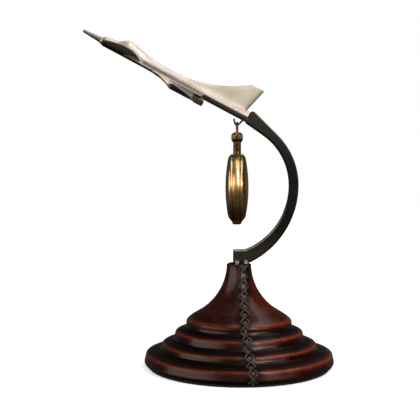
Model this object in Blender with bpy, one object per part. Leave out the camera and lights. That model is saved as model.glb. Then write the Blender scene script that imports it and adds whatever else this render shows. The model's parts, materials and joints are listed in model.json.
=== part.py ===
"""A desk stand for a pocket watch, in metres with +Z up.

A stepped round base covered in laced leather carries a crescent arm. A small delta jet stands on the arm's
tip, nose up towards -X, and a closed hunter watch hangs from a hook under its tail. The origin is the centre
of the base's underside.
"""

from math import acos, asin, atan2, cos, hypot, pi, radians, sin, sqrt, tau

import bmesh
import bpy
from mathutils import Matrix, Vector

for item in list(bpy.data.objects):
    bpy.data.objects.remove(item, do_unlink=True)

# Fit between pieces that touch on the real object
GAP = 0.0003

# Stepped base
TIER_1_RADIUS = 0.0670
TIER_2_RADIUS = 0.0546
TIER_3_RADIUS = 0.0452
TIER_4_RADIUS = 0.0374
TIER_1_HEIGHT = 0.0104
TIER_2_HEIGHT = 0.0068
TIER_3_HEIGHT = 0.0083
TIER_4_HEIGHT = 0.0064
TREAD_RISE = 0.0026
EDGE_ROUND = 0.0018
BOTTOM_ROUND = 0.0030
BELL_FOOT_RADIUS = 0.0284
BELL_FOOT_RISE = 0.0071
NECK_RADIUS = 0.0082
NECK_HEIGHT = 0.0730
NECK_ROUND = 0.0010
LEATHER = 0.0015
HEM_WIDTH = 0.0090
FELT = 0.0012
FELT_MARGIN = 0.0030
BASE_SIDES = 32

# Lacing of the front seam
LACE_RADIUS = 0.0005
LACE_HALF_WIDTH = 0.0030
LACE_PITCH = 0.0077
LACE_STEPS = 4
LACE_TOP_MARGIN = 0.0040
LACE_END_MARGIN = 0.0030
SEAM_SHIFT = 0.0031
SEAM_SLANT = 0.125

# Arm fixing
STUD_RADIUS = 0.0025
STUD_GRIP = 0.0065
WASHER_RADIUS = 0.0090
WASHER = 0.0012
NUT_RADIUS = 0.0046
NUT_HEIGHT = 0.0040
STUD_TAIL = 0.0010
COUNTERBORE_DEPTH = 0.0100

# Crescent arm: heights above its foot, reaches from the base's axis
ARM_DEPTH = 0.0080
ARM_RISE = 0.0543
ARM_INNER_REACH = 0.0353
ARM_THICKNESS = 0.0065
ARM_INNER_UPPER_RADIUS = 0.0431
ARM_OUTER_UPPER_RADIUS = 0.0495
ARM_INNER_TURN = 55
ARM_OUTER_TURN = 45
ARM_EDGE = 0.0007
FOOT_HEIGHT = 0.0090
FOOT_LEFT = -0.0042
FOOT_RIGHT = 0.0080
FOOT_TOP_END = 0.0044
TAIL_REACH = 0.0055
TAIL_RISE = 0.0477

# Delta jet: u runs from the nose tip along the axis, v up from it
JET_PITCH = radians(27.97)
JET_LENGTH = 0.1300
JET_CENTRE = 0.0003
NOSE_TIP_RADIUS = 0.00125
NOSE_BASE_RADIUS = 0.0021
NOSE_LENGTH = 0.0142
COLLAR_RADIUS = 0.0027
COLLAR_LENGTH = 0.0013
NOSE_SHOULDER = 0.0010
SPIGOT_RADIUS = 0.0011
SPIGOT_LENGTH = 0.0040
BODY_FRONT_TOP = 0.0038
BODY_BOTTOM = 0.0033
BODY_HALF_WIDTH = 0.0036
CANOPY_TOP = 0.0090
CANOPY_AT = 0.0330
WINDSCREEN_LENGTH = 0.0080
CANOPY_FADE = 0.0170
SPINE_TOP = 0.0046
TAIL_HALF_WIDTH = 0.0027
BODY_STATIONS = 18
BODY_SIDES = 16
FIN_LENGTH = 0.0586
FIN_TAIL_MARGIN = 0.0024
FIN_TIP_CHORD = 0.0100
FIN_OVERHANG = 0.0022
FIN_HEIGHT = 0.0216
FIN_ROOT_THICKNESS = 0.0030
FIN_THICKNESS = 0.0014
WING_START = 0.0310
WING_TAIL_MARGIN = 0.0338
WING_HALF_SPAN = 0.0270
WING_TIP_CHORD = 0.0040
WING_DROOP = 0.10
WING_ROOT_BOTTOM = -0.0019
WING_EDGE = 0.0011
WING_RISE = 0.0016
WING_STATIONS = 16
POD_OFFSET = 0.0102
POD_WIDTH = 0.0088
POD_HEIGHT = 0.0030
POD_WING_MARGIN = 0.0057
POD_LENGTH = 0.0345
POD_RAMP = 0.0145
INTAKE_LENGTH = 0.0185
INTAKE_TOP = 0.0009
NOZZLE_RADIUS = 0.0019
NOZZLE_LENGTH = 0.0068
NOZZLE_BORE = 0.0012
NOZZLE_BORE_DEPTH = 0.0030
TAIL_STUD_RADIUS = 0.0011
TAIL_STUD_LENGTH = 0.0120
TAIL_STUD_RISE = 0.0022

# Watch: a dial frame with x to 3 o'clock, y to 12 o'clock and z out of the dial
WATCH_YAW = radians(-4)
CASE_RADIUS = 0.0234
CASE_SIDES = 32
BAND_HALF = 0.0024
BAND_EDGE = 0.0003
COVER_RIM_WIDTH = 0.0016
LIP_RADIUS = CASE_RADIUS - COVER_RIM_WIDTH
LIP_WIDTH = 0.0012
LIP_HALF = 0.0046
BAND_BORE = LIP_RADIUS - LIP_WIDTH
COVER_RIM_TOP = 0.0060
COVER_TOP = 0.0081
COVER_WALL = 0.0008
SHOULDER_WIDTH = 0.0020
DOME_RADIUS = CASE_RADIUS - SHOULDER_WIDTH
GROOVE_DEPTH = 0.0003
HINGE_PIN_RADIUS = 0.0005
KNUCKLE_RADIUS = 0.0012
HINGE_OFFSET = 0.0020
KNUCKLE_HALF = 0.0018
LUG_LENGTH = 0.0024

# Pendant, crown and bow
PENDANT_RADIUS = 0.00275
PENDANT_BORE = 0.00145
PENDANT_LENGTH = 0.0085
SLEEVE_RADIUS = 0.00115
STEM_SIDE = 0.0009
STEM_GRIP = 0.0028
CROWN_RADIUS = 0.0041
CROWN_LIFT = 0.0008
CROWN_HEIGHT = 0.0060
CROWN_SKIRT = 0.0012
CROWN_BAND = 0.0029
CROWN_FLUTES = 16
FLUTE_SHARE = 0.955
BOW_WIRE = 0.0007
BOW_RADIUS = 0.0084
BOW_PIVOT_RISE = 0.0053
BOW_PIVOT = CASE_RADIUS + BOW_PIVOT_RISE
BOW_PIN_END = 0.0019
HOOK_BACK = 0.0069
HOOK_DROP = 0.0036
HOOK_WIRE = 0.00055
HOOK_PRONG = 0.0034
HOOK_PRONG_LEAN = 14
HOOK_SHANK_LEAN = 44
HOOK_GRIP = 0.0016

# Dial side of the watch
BEZEL_RADIUS = BAND_BORE - GAP
BEZEL_WIDTH = 0.0014
CRYSTAL_RADIUS = BEZEL_RADIUS - BEZEL_WIDTH
CRYSTAL_SEAT = 0.0010
BEZEL_BORE = CRYSTAL_RADIUS - CRYSTAL_SEAT
BEZEL_BOTTOM = 0.0030
BEZEL_TOP = 0.0054
CRYSTAL = 0.0006
CRYSTAL_DOME = 0.0004
CRYSTAL_BOTTOM = 0.0049
DIAL_RADIUS = CRYSTAL_RADIUS
DIAL_BOTTOM = 0.0023
DIAL = 0.0004
HAND = 0.00022
SECONDS_HAND_LEVEL = 0.00295
HOUR_HAND_LEVEL = 0.00345
MINUTE_HAND_LEVEL = 0.0040
SECONDS_HAND_LENGTH = 0.0044
SECONDS_HAND_WIDTH = 0.0004
HOUR_HAND_LENGTH = 0.0100
HOUR_HAND_WIDTH = 0.0011
MINUTE_HAND_MARGIN = 0.0024
MINUTE_HAND_LENGTH = BEZEL_BORE - MINUTE_HAND_MARGIN
MINUTE_HAND_WIDTH = 0.0008
HOUR_AT = radians(-54)
MINUTE_AT = radians(54)

# Movement: its plan is drawn in parts of the plate's radius
SPRING = 0.0006
SPRING_HEIGHT = 0.0030
RING_RADIUS = BAND_BORE - SPRING - 2 * GAP
RING_WIDTH = 0.0051
RING_BORE = RING_RADIUS - RING_WIDTH
RING_BOTTOM = -0.0042
RING_TOP = 0.0020
PLATE_RADIUS = RING_BORE - GAP
PLAN = PLATE_RADIUS / 140
SECONDS_DROP = 85 * PLAN
SLEEVE_START = RING_BORE + GAP
STEM_START = PLATE_RADIUS - STEM_GRIP
PLATE_BOTTOM = -0.0013
PLATE_TOP = 0.0011
BRIDGE_RADIUS = 132 * PLAN
BRIDGE_TOP = -0.0042
BRIDGE = 0.0007
BRIDGE_EDGE = 23 * PLAN
PILLAR_RADIUS = 11 * PLAN
SCREW_RADIUS = 10 * PLAN
SCREW_HEAD = 0.0005
SCREW_SLOT = 0.0003
TRAIN_MODULE = 2 * PLAN
MOTION_MODULE = 0.0003
WHEEL = 0.0003
LEVEL_STEP = 0.0006
FIRST_LEVEL = -0.0016
ARBOR = 3 * PLAN
CENTRE_ARBOR = 0.00045
CANNON_PIPE = 0.00105
HOUR_PIPE = 0.0017
MINUTE_WHEEL_AT = radians(145)
PINION_LEAVES = 6
CENTRE_TEETH = 48
THIRD_TEETH = 45
SECONDS_TEETH = 36
INTERMEDIATE_TEETH = 30
CANNON_TEETH = 10
MINUTE_WHEEL_TEETH = 30
MINUTE_PINION_TEETH = 8
HOUR_TEETH = 32
INTERMEDIATE_AT = radians(149)
ROTOR_AT = radians(160)
MAGNET_RADIUS = 13 * PLAN
MAGNET_HEIGHT = 0.0010
STATOR = 0.0006
STATOR_POLE = 23 * PLAN
STATOR_LEFT = 44 * PLAN
STATOR_RIGHT = 24 * PLAN
STATOR_LEG = 20 * PLAN
STATOR_END = 30 * PLAN
CELL_RADIUS = 40 * PLAN
CELL_HEIGHT = 0.0026
CELL_AT = Vector((66, 69)) * PLAN
BOARD = 0.0008
BOARD_LEFT = -80 * PLAN
BOARD_RIGHT = -12 * PLAN
BOARD_END = 105 * PLAN
COIL_RADIUS = 13 * PLAN
COIL_LENGTH = 48 * PLAN

# Colour, roughness and metallic value of each finish
FINISHES = {
    "leather": ((0.060, 0.012, 0.006), 0.30, 0.0),
    "lace": ((0.010, 0.008, 0.007), 0.45, 0.0),
    "felt": ((0.012, 0.012, 0.013), 0.95, 0.0),
    "wood": ((0.300, 0.170, 0.080), 0.60, 0.0),
    "gunmetal": ((0.030, 0.026, 0.021), 0.40, 0.9),
    "nickel": ((0.600, 0.540, 0.470), 0.30, 1.0),
    "dark_nickel": ((0.070, 0.065, 0.058), 0.42, 0.9),
    "black": ((0.008, 0.008, 0.008), 0.50, 0.2),
    "bronze": ((0.400, 0.260, 0.095), 0.32, 1.0),
    "steel": ((0.560, 0.560, 0.550), 0.28, 1.0),
    "brass": ((0.720, 0.500, 0.180), 0.30, 1.0),
    "glass": ((0.900, 0.930, 0.930), 0.05, 0.0),
    "dial": ((0.850, 0.810, 0.700), 0.50, 0.0),
    "blued": ((0.015, 0.020, 0.050), 0.25, 1.0),
    "plastic": ((0.050, 0.050, 0.052), 0.50, 0.0),
    "board": ((0.020, 0.120, 0.050), 0.45, 0.0),
    "copper": ((0.500, 0.190, 0.080), 0.35, 1.0),
}


def add(name, form, finish, parent=None, place=(0, 0, 0)):
    """One named piece with its own material; form is a bmesh or a curve."""
    if isinstance(form, bmesh.types.BMesh):
        bmesh.ops.remove_doubles(form, verts=form.verts, dist=GAP / 1000)
        bmesh.ops.recalc_face_normals(form, faces=form.faces)
        data = bpy.data.meshes.new(name)
        form.to_mesh(data)
        form.free()
        data.shade_smooth()
        data.set_sharp_from_angle(angle=radians(35))
    else:
        data = form
    piece = bpy.data.objects.new(name, data)
    bpy.context.scene.collection.objects.link(piece)
    piece.parent = parent
    piece.location = place
    colour, roughness, metallic = FINISHES[finish]
    material = bpy.data.materials.new(name + "_" + finish)
    material.use_nodes = True
    shader = material.node_tree.nodes["Principled BSDF"]
    shader.inputs["Base Color"].default_value = (*colour, 1)
    shader.inputs["Roughness"].default_value = roughness
    shader.inputs["Metallic"].default_value = metallic
    data.materials.append(material)
    return piece


def empty(name, place, turn=None, parent=None):
    """A frame that pieces are placed in."""
    frame = bpy.data.objects.new(name, None)
    bpy.context.scene.collection.objects.link(frame)
    frame.parent = parent
    frame.matrix_local = Matrix.Translation(place) @ (turn.to_4x4() if turn else Matrix())
    return frame


def tool(owner, form, operation):
    """Cuts a form out of a piece, or joins it on, in the piece's own frame."""
    helper = add(owner.name + "_" + operation.lower(), form, "steel", owner)
    helper.hide_render = True
    helper.display_type = "WIRE"
    step = owner.modifiers.new(operation.title(), "BOOLEAN")
    step.operation = operation
    step.solver = "EXACT"
    step.object = helper


def turned(profile, sides):
    """A closed (radius, height) outline turned round the Z axis; one that starts and ends on it is solid."""
    form = bmesh.new()
    points = [form.verts.new((radius, 0, height)) for radius, height in profile]
    edges = [form.edges.new(pair) for pair in zip(points, points[1:])]
    if profile[0][0] > 0:
        edges.append(form.edges.new((points[-1], points[0])))
    bmesh.ops.spin(form, geom=points + edges, cent=(0, 0, 0), axis=(0, 0, 1), angle=tau, steps=sides,
                   use_merge=True)
    bmesh.ops.remove_doubles(form, verts=form.verts, dist=GAP / 1000)
    return form


def extruded(outline, low, high):
    """A flat (x, y) outline between two heights."""
    form = bmesh.new()
    face = form.faces.new([form.verts.new((x, y, low)) for x, y in outline])
    raised = bmesh.ops.extrude_face_region(form, geom=[face])["geom"]
    tops = [item for item in raised if isinstance(item, bmesh.types.BMVert)]
    bmesh.ops.translate(form, verts=tops, vec=(0, 0, high - low))
    return form


def rod(radius, low, high, sides=16):
    """A round bar along Z; four sides make a square one."""
    return turned([(0, low), (radius, low), (radius, high), (0, high)], sides)


def lofted(rings):
    """Rings of equally many points joined one to the next, with both ends closed."""
    form = bmesh.new()
    rows = [[form.verts.new(point) for point in ring] for ring in rings]
    for near, far in zip(rows, rows[1:]):
        for i in range(len(near)):
            j = (i + 1) % len(near)
            form.faces.new((near[i], near[j], far[j], far[i]))
    form.faces.new(rows[0])
    form.faces.new(rows[-1])
    return form


def moved(form, matrix):
    """The same form, turned or shifted."""
    bmesh.ops.transform(form, matrix=matrix, verts=form.verts)
    return form


def along_x(form):
    """A form made round Z, laid along +X."""
    return moved(form, Matrix.Rotation(pi / 2, 4, "Y"))


def along_y(form):
    """A form made round Z, laid along +Y."""
    return moved(form, Matrix.Rotation(-pi / 2, 4, "X"))


def side_view(form, middle=0.0):
    """A form whose outline was drawn in (x, z), with its thickness along Y about a middle."""
    return moved(form, Matrix.Translation((0, middle, 0)) @ Matrix.Rotation(pi / 2, 4, "X"))


def wire(points, radius, fineness=1):
    """A round wire through points, closed at both ends."""
    curve = bpy.data.curves.new("wire", "CURVE")
    curve.dimensions = "3D"
    curve.bevel_depth = radius
    curve.bevel_resolution = fineness
    curve.use_fill_caps = True
    spline = curve.splines.new("POLY")
    spline.points.add(len(points) - 1)
    for slot, point in zip(spline.points, points):
        slot.co = (*point, 1)
    return curve


def arc(centre, radius, start, end, steps):
    """Points of an arc between two angles in degrees."""
    angles = [radians(start + (end - start) * i / steps) for i in range(steps + 1)]
    return [(centre[0] + radius * cos(a), centre[1] + radius * sin(a)) for a in angles]


def smooth(curve, at):
    """A value on a smooth line through (position, value) points."""
    last = len(curve) - 2
    i = next((k for k in range(last) if at <= curve[k + 1][0]), last)
    (u0, v0), (u1, v1) = curve[i], curve[i + 1]
    before = curve[max(i - 1, 0)]
    after = curve[min(i + 2, len(curve) - 1)]
    slope0 = (v1 - before[1]) / (u1 - before[0])
    slope1 = (after[1] - v0) / (after[0] - u0)
    t = (at - u0) / (u1 - u0)
    ease = t * t * (3 - 2 * t)
    lean = (t - 2 * t * t + t ** 3) * slope0 + (t ** 3 - t * t) * slope1
    return v0 + (v1 - v0) * ease + lean * (u1 - u0)


# Stepped base: wooden core, leather cover, felt pad

HEM_BOTTOM = FELT + GAP
CORE_BOTTOM = HEM_BOTTOM
TIERS = (
    (TIER_1_RADIUS, TIER_1_HEIGHT),
    (TIER_2_RADIUS, TIER_1_HEIGHT + TIER_2_HEIGHT),
    (TIER_3_RADIUS, TIER_1_HEIGHT + TIER_2_HEIGHT + TIER_3_HEIGHT),
    (TIER_4_RADIUS, TIER_1_HEIGHT + TIER_2_HEIGHT + TIER_3_HEIGHT + TIER_4_HEIGHT),
)


def base_profile(inset, bottom, bell_steps, edge_steps):
    """The stepped outline from its foot up to the neck, moved in and down by a wall's thickness."""
    points = []
    riser = bottom
    for radius, top in TIERS[:3]:
        r = radius - inset
        points.append((r, riser))
        points += arc((r - EDGE_ROUND, top - inset - EDGE_ROUND), EDGE_ROUND, 0, 72, edge_steps)
        riser = top - inset + TREAD_RISE
    foot = Vector((BELL_FOOT_RADIUS - inset, TIERS[3][1] - inset + BELL_FOOT_RISE))
    neck = Vector((NECK_RADIUS - inset, NECK_HEIGHT - inset))
    across = foot.x - neck.x
    bell = hypot(across, neck.y - foot.y) ** 2 / (2 * across)
    centre = (neck.x + bell, neck.y)
    foot_angle = atan2(foot.y - centre[1], foot.x - centre[0])
    outer = TIERS[3][0] - inset
    slope = (foot.x - centre[0]) / (centre[1] - foot.y)
    corner = Vector((outer, foot.y + slope * (outer - foot.x)))
    edge = Vector((outer, TIERS[3][1] - inset))
    points.append((outer, riser))
    for i in range(edge_steps * 2):
        t = i / (edge_steps * 2)
        bend = edge * (1 - t) ** 2 + corner * 2 * t * (1 - t) + foot * t * t
        points.append((bend.x, bend.y))
    turn = (foot_angle + tau) % tau
    for i in range(bell_steps):
        angle = turn + (pi - turn) * i / bell_steps
        points.append((centre[0] + bell * cos(angle), centre[1] + bell * sin(angle)))
    points.append((neck.x, neck.y - NECK_ROUND))
    points.append((neck.x - NECK_ROUND, neck.y))
    return points


BORE_RADIUS = STUD_RADIUS + GAP
HEM_INNER = TIER_1_RADIUS - HEM_WIDTH
outside = base_profile(0, HEM_BOTTOM + BOTTOM_ROUND, 7, 2)
inside = base_profile(LEATHER, HEM_BOTTOM + LEATHER, 3, 1)
bottom_edge = arc((TIER_1_RADIUS - BOTTOM_ROUND, HEM_BOTTOM + BOTTOM_ROUND), BOTTOM_ROUND, -90, -45, 1)
leather_outline = bottom_edge + outside
leather_outline += [(BORE_RADIUS, NECK_HEIGHT), (BORE_RADIUS, NECK_HEIGHT - LEATHER)] + inside[::-1]
leather_outline += [(HEM_INNER, HEM_BOTTOM + LEATHER), (HEM_INNER, HEM_BOTTOM)]
add("base_leather", turned(leather_outline, BASE_SIDES), "leather")

inset = LEATHER + GAP
counterbore_top = CORE_BOTTOM + COUNTERBORE_DEPTH
core_outline = base_profile(inset, HEM_BOTTOM + inset, 3, 1)
core_outline += [
    (BORE_RADIUS, NECK_HEIGHT - inset),
    (BORE_RADIUS, counterbore_top),
    (WASHER_RADIUS + GAP, counterbore_top),
    (WASHER_RADIUS + GAP, CORE_BOTTOM),
    (HEM_INNER - GAP, CORE_BOTTOM),
    (HEM_INNER - GAP, HEM_BOTTOM + inset),
]
add("base_core", turned(core_outline, BASE_SIDES), "wood")
add("base_felt", rod(TIER_1_RADIUS - FELT_MARGIN, 0, FELT, BASE_SIDES), "felt")

# Lacing: two strands that cross over the seam, one lying over the other

SEAM = outside[::-1]


def seam_at(distance):
    """The point of the seam's profile at a distance from the neck's top edge."""
    for (r0, z0), (r1, z1) in zip(SEAM, SEAM[1:]):
        step = hypot(r1 - r0, z1 - z0)
        if distance <= step:
            share = distance / step
            return Vector((r0 + (r1 - r0) * share, z0 + (z1 - z0) * share))
        distance -= step
    return Vector(SEAM[-1])


def seam_clearance(point):
    """Distance in the profile's plane from a point to the leather."""
    least = None
    for start, end in zip(SEAM, SEAM[1:]):
        first = Vector(start)
        run = Vector(end) - first
        share = max(0, min(1, (point - first).dot(run) / run.length_squared))
        near = (point - first - run * share).length
        least = near if least is None else min(least, near)
    return least


def lace_point(distance, sideways, lift):
    """A point over the seam, clear of the leather by lift, to one side of the seam's line."""
    run = seam_at(distance + LACE_END_MARGIN) - seam_at(max(0, distance - LACE_END_MARGIN))
    outward = Vector((-run.y, run.x)).normalized()
    base = seam_at(distance)
    reach = lift
    point = base + outward * reach
    while seam_clearance(point) < lift:
        reach += GAP / 3
        point = base + outward * reach
    x = SEAM_SHIFT + max(0, base.x - TIER_4_RADIUS) * SEAM_SLANT + sideways
    return (x, -sqrt(point.x ** 2 - x * x), point.y)


seam_length = sum(hypot(b[0] - a[0], b[1] - a[1]) for a, b in zip(SEAM, SEAM[1:]))
lace_length = seam_length - LACE_TOP_MARGIN - LACE_END_MARGIN
lace_count = int(lace_length / LACE_PITCH) * LACE_STEPS
for name, side, over in (("lace_under", 1, 0), ("lace_over", -1, 1)):
    route = []
    for i in range(lace_count + 1):
        wave = cos(pi * i / LACE_STEPS)
        sway = asin(0.9 * wave) / asin(0.9)
        rise = over * (2 * LACE_RADIUS + GAP) * (1 - abs(sway))
        lie = LACE_TOP_MARGIN + i * LACE_PITCH / LACE_STEPS
        route.append(lace_point(lie, side * sway * LACE_HALF_WIDTH, LACE_RADIUS + GAP + rise))
    add(name, wire(route, LACE_RADIUS), "lace")

# Stud, washer and nut that pull the arm down on the neck

washer_top = counterbore_top - GAP
nut_top = washer_top - WASHER - GAP
stud_bottom = nut_top - NUT_HEIGHT - STUD_TAIL
FOOT_BOTTOM = NECK_HEIGHT + GAP
stud_top = FOOT_BOTTOM + STUD_GRIP
washer_outline = [
    (BORE_RADIUS, washer_top - WASHER),
    (WASHER_RADIUS, washer_top - WASHER),
    (WASHER_RADIUS, washer_top),
    (BORE_RADIUS, washer_top),
]
add("stud_washer", turned(washer_outline, 24), "steel")
nut = turned([(BORE_RADIUS, nut_top - NUT_HEIGHT), (NUT_RADIUS, nut_top - NUT_HEIGHT), (NUT_RADIUS, nut_top),
              (BORE_RADIUS, nut_top)], 6)
add("stud_nut", nut, "steel")
add("arm_stud", rod(STUD_RADIUS * cos(pi / 6), stud_bottom, stud_top, 16), "steel")

# Crescent arm, drawn in the (x, z) plane

ARM_MIDDLE = FOOT_BOTTOM + ARM_RISE
FOOT_TOP = FOOT_BOTTOM + FOOT_HEIGHT
jet_along = Vector((cos(JET_PITCH), -sin(JET_PITCH)))
jet_up = Vector((sin(JET_PITCH), cos(JET_PITCH)))
tail = Vector((TAIL_REACH, ARM_MIDDLE + TAIL_RISE))
nose = tail - jet_along * JET_LENGTH
JET_NOSE = Vector((nose.x, 0, nose.y))


def at_tail(point, heading):
    """Where a line through a point meets the flat end of the jet's tail, with a gap left."""
    distance = (GAP - (point - tail).dot(jet_along)) / heading.dot(jet_along)
    return point + heading * distance


def arm_edge(reach, upper, upper_turn, landing, level):
    """One long edge of the arm from its landing on the foot: two arcs that meet at its widest place."""
    across = reach - landing
    down = ARM_MIDDLE - level
    lower = (across * across + down * down) / (2 * across)
    lower_turn = atan2(down, lower - across) * 180 / pi
    below = arc((reach - lower, ARM_MIDDLE), lower, -lower_turn, 0, 8)
    return below + arc((reach - upper, ARM_MIDDLE), upper, 0, upper_turn, 8)[1:]


def heading_after(turn):
    """The way an arc runs on past an angle in degrees."""
    return Vector((-sin(radians(turn)), cos(radians(turn))))


outer_reach = ARM_INNER_REACH + ARM_THICKNESS
outer = arm_edge(outer_reach, ARM_OUTER_UPPER_RADIUS, ARM_OUTER_TURN, FOOT_RIGHT, FOOT_BOTTOM)
inner = arm_edge(ARM_INNER_REACH, ARM_INNER_UPPER_RADIUS, ARM_INNER_TURN, FOOT_TOP_END, FOOT_TOP)
tip_outer = at_tail(Vector(outer[-1]), heading_after(ARM_OUTER_TURN))
tip_inner = at_tail(Vector(inner[-1]), heading_after(ARM_INNER_TURN))
arm_outline = [(FOOT_LEFT, FOOT_BOTTOM)] + outer + [tuple(tip_outer), tuple(tip_inner)] + inner[::-1]
arm_outline.append((FOOT_LEFT, FOOT_TOP))
arm = add("arm", side_view(extruded(arm_outline, -ARM_DEPTH / 2, ARM_DEPTH / 2)), "gunmetal")
tool(arm, rod(STUD_RADIUS + GAP, FOOT_BOTTOM - STUD_GRIP, stud_top + GAP, 16), "DIFFERENCE")

jet = empty("jet_frame", JET_NOSE, Matrix.Rotation(JET_PITCH, 3, "Y"))
to_jet = Matrix.Translation(JET_NOSE) @ Matrix.Rotation(JET_PITCH, 4, "Y")
stud_axis = Matrix.Translation((JET_LENGTH, 0, TAIL_STUD_RISE))
half_stud = TAIL_STUD_LENGTH / 2
stud_bore = moved(along_x(rod(TAIL_STUD_RADIUS + GAP, -half_stud - GAP, half_stud + GAP, 12)), stud_axis)
tool(arm, moved(stud_bore.copy(), to_jet), "DIFFERENCE")
edges = arm.modifiers.new("Edges", "BEVEL")
edges.width = ARM_EDGE
edges.segments = 2
edges.angle_limit = radians(40)
arm.modifiers.move(2, 0)
add("tail_stud", moved(along_x(rod(TAIL_STUD_RADIUS, -half_stud, half_stud, 12)), stud_axis), "steel", jet)

# Jet fuselage, nose and fin

BODY_START = NOSE_LENGTH + COLLAR_LENGTH + GAP
FIN_ROOT_END = JET_LENGTH - FIN_TAIL_MARGIN
FIN_START = FIN_ROOT_END - FIN_LENGTH
FIN_TIP_END = JET_LENGTH + FIN_OVERHANG
WING_END = JET_LENGTH - WING_TAIL_MARGIN
TOP_LINE = (
    (BODY_START, BODY_FRONT_TOP),
    (CANOPY_AT - WINDSCREEN_LENGTH, BODY_FRONT_TOP * 1.28),
    (CANOPY_AT - WINDSCREEN_LENGTH * 0.28, CANOPY_TOP * 0.92),
    (CANOPY_AT, CANOPY_TOP),
    (CANOPY_AT + CANOPY_FADE * 0.44, CANOPY_TOP * 0.845),
    (CANOPY_AT + CANOPY_FADE, SPINE_TOP * 1.22),
    (CANOPY_AT + CANOPY_FADE * 1.6, SPINE_TOP),
    (FIN_ROOT_END, SPINE_TOP),
    (JET_LENGTH, SPINE_TOP),
)
SIDE_LINE = (
    (BODY_START, BODY_HALF_WIDTH),
    (CANOPY_AT + CANOPY_FADE, BODY_HALF_WIDTH),
    (WING_END, BODY_HALF_WIDTH),
    (JET_LENGTH, TAIL_HALF_WIDTH),
)


def body_section(u):
    """Height above and below the axis, and half width, of the fuselage at a station."""
    share = min(1, (u - BODY_START) / NOSE_SHOULDER)
    round_off = 0.84 + 0.16 * sqrt(1 - (1 - share) ** 2)
    top = smooth(TOP_LINE, u) * round_off
    return top - JET_CENTRE, BODY_BOTTOM * round_off + JET_CENTRE, smooth(SIDE_LINE, u) * round_off


def body_ring(u):
    """One oval cross-section of the fuselage."""
    top, bottom, half = body_section(u)
    ring = []
    for i in range(BODY_SIDES):
        angle = tau * i / BODY_SIDES
        rise = (top if sin(angle) > 0 else bottom) * sin(angle)
        ring.append((u, half * cos(angle), JET_CENTRE + rise))
    return ring


def body_half_width(u, v):
    """Half width of the fuselage at a station and a height."""
    top, bottom, half = body_section(u)
    limit = top if v > JET_CENTRE else bottom
    return half * sqrt(max(0, 1 - ((v - JET_CENTRE) / limit) ** 2))


shoulder = [BODY_START + NOSE_SHOULDER * share for share in (0, 0.25, 1)]
run = JET_LENGTH - shoulder[-1]
stations = shoulder + [shoulder[-1] + run * (i / BODY_STATIONS) ** 1.3 for i in range(1, BODY_STATIONS + 1)]
fuselage = add("fuselage", lofted([body_ring(u) for u in stations]), "nickel", jet)
tool(fuselage, stud_bore, "DIFFERENCE")
spigot_bore = along_x(rod(SPIGOT_RADIUS + GAP, BODY_START - GAP, BODY_START + SPIGOT_LENGTH, 12))
tool(fuselage, spigot_bore, "DIFFERENCE")

nose_outline = [
    (0, 0),
    (NOSE_TIP_RADIUS * 0.7, 0),
    (NOSE_TIP_RADIUS, NOSE_TIP_RADIUS * 0.5),
    (NOSE_BASE_RADIUS, NOSE_LENGTH),
    (COLLAR_RADIUS, NOSE_LENGTH),
    (COLLAR_RADIUS, NOSE_LENGTH + COLLAR_LENGTH),
    (SPIGOT_RADIUS, NOSE_LENGTH + COLLAR_LENGTH),
    (SPIGOT_RADIUS, BODY_START + SPIGOT_LENGTH - GAP),
    (0, BODY_START + SPIGOT_LENGTH - GAP),
]
add("nose_cone", along_x(turned(nose_outline, 20)), "nickel", jet)


def fin_ring(share):
    """One slice of the fin, lying level, from its root at 0 to its tip at 1."""
    v = SPINE_TOP + GAP + (FIN_HEIGHT - SPINE_TOP) * share
    front = FIN_START + (FIN_TIP_END - FIN_TIP_CHORD - FIN_START) * share ** 0.48
    back = FIN_ROOT_END + (FIN_TIP_END - FIN_ROOT_END) * share
    half = (FIN_THICKNESS + (FIN_ROOT_THICKNESS - FIN_THICKNESS) * (1 - share) ** 6) / 2
    blunt = FIN_THICKNESS
    near = [(front, 0), (front + blunt, half * 0.7), (front + 3 * blunt, half), (back - blunt, half),
            (back, half * 0.5)]
    far = [(u, -y) for u, y in near[:0:-1]]
    return [(u, y, v) for u, y in near + far]


add("tail_fin", lofted([fin_ring(share) for share in (0, 0.02, 0.06, 0.14, 0.26, 0.4, 0.6, 0.8, 1)]),
    "nickel", jet)

# Wings: a slender delta on each side, blended up to the fuselage

WING_SIDES = (("left", 1), ("right", -1))


def wing_reach(u):
    """Half span of the wing's edge at a station."""
    share = min(1, (u - WING_START) / (WING_END - WING_TIP_CHORD - WING_START))
    grown = 0.35 * share + 0.65 * share ** 2.2
    start = body_half_width(WING_START, WING_ROOT_BOTTOM) + 4 * GAP
    return start + (WING_HALF_SPAN - start) * grown


def wing_bottom(y):
    """Height of the wing's flat underside at a distance from the axis."""
    return WING_ROOT_BOTTOM - WING_DROOP * y


def wing_ring(u, side):
    """One cross-section of a wing, from the root out over the top and back below."""
    tip = wing_reach(u)
    top_root = wing_bottom(BODY_HALF_WIDTH) + WING_EDGE + WING_RISE
    near = body_half_width(u, top_root) + GAP
    under = body_half_width(u, wing_bottom(BODY_HALF_WIDTH)) + GAP
    near = min(near, tip - GAP)
    ring = []
    for share in (0, 0.12, 0.28, 0.5, 0.75, 0.93):
        y = near + (tip - near) * share
        rise = WING_RISE * (1 - share) ** 2.2
        thin = 1 - 0.5 * max(0, share - 0.75) / 0.18
        ring.append((y, wing_bottom(y) + WING_EDGE * thin + rise))
    ring.append((tip, wing_bottom(tip) + WING_EDGE * 0.25))
    ring.append((tip - (tip - near) * 0.07, wing_bottom(tip)))
    ring.append((under, wing_bottom(under)))
    middle = (top_root + wing_bottom(under)) / 2
    ring.append((body_half_width(u, middle) + GAP, middle))
    return [(u, side * y, v) for y, v in ring]


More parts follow.
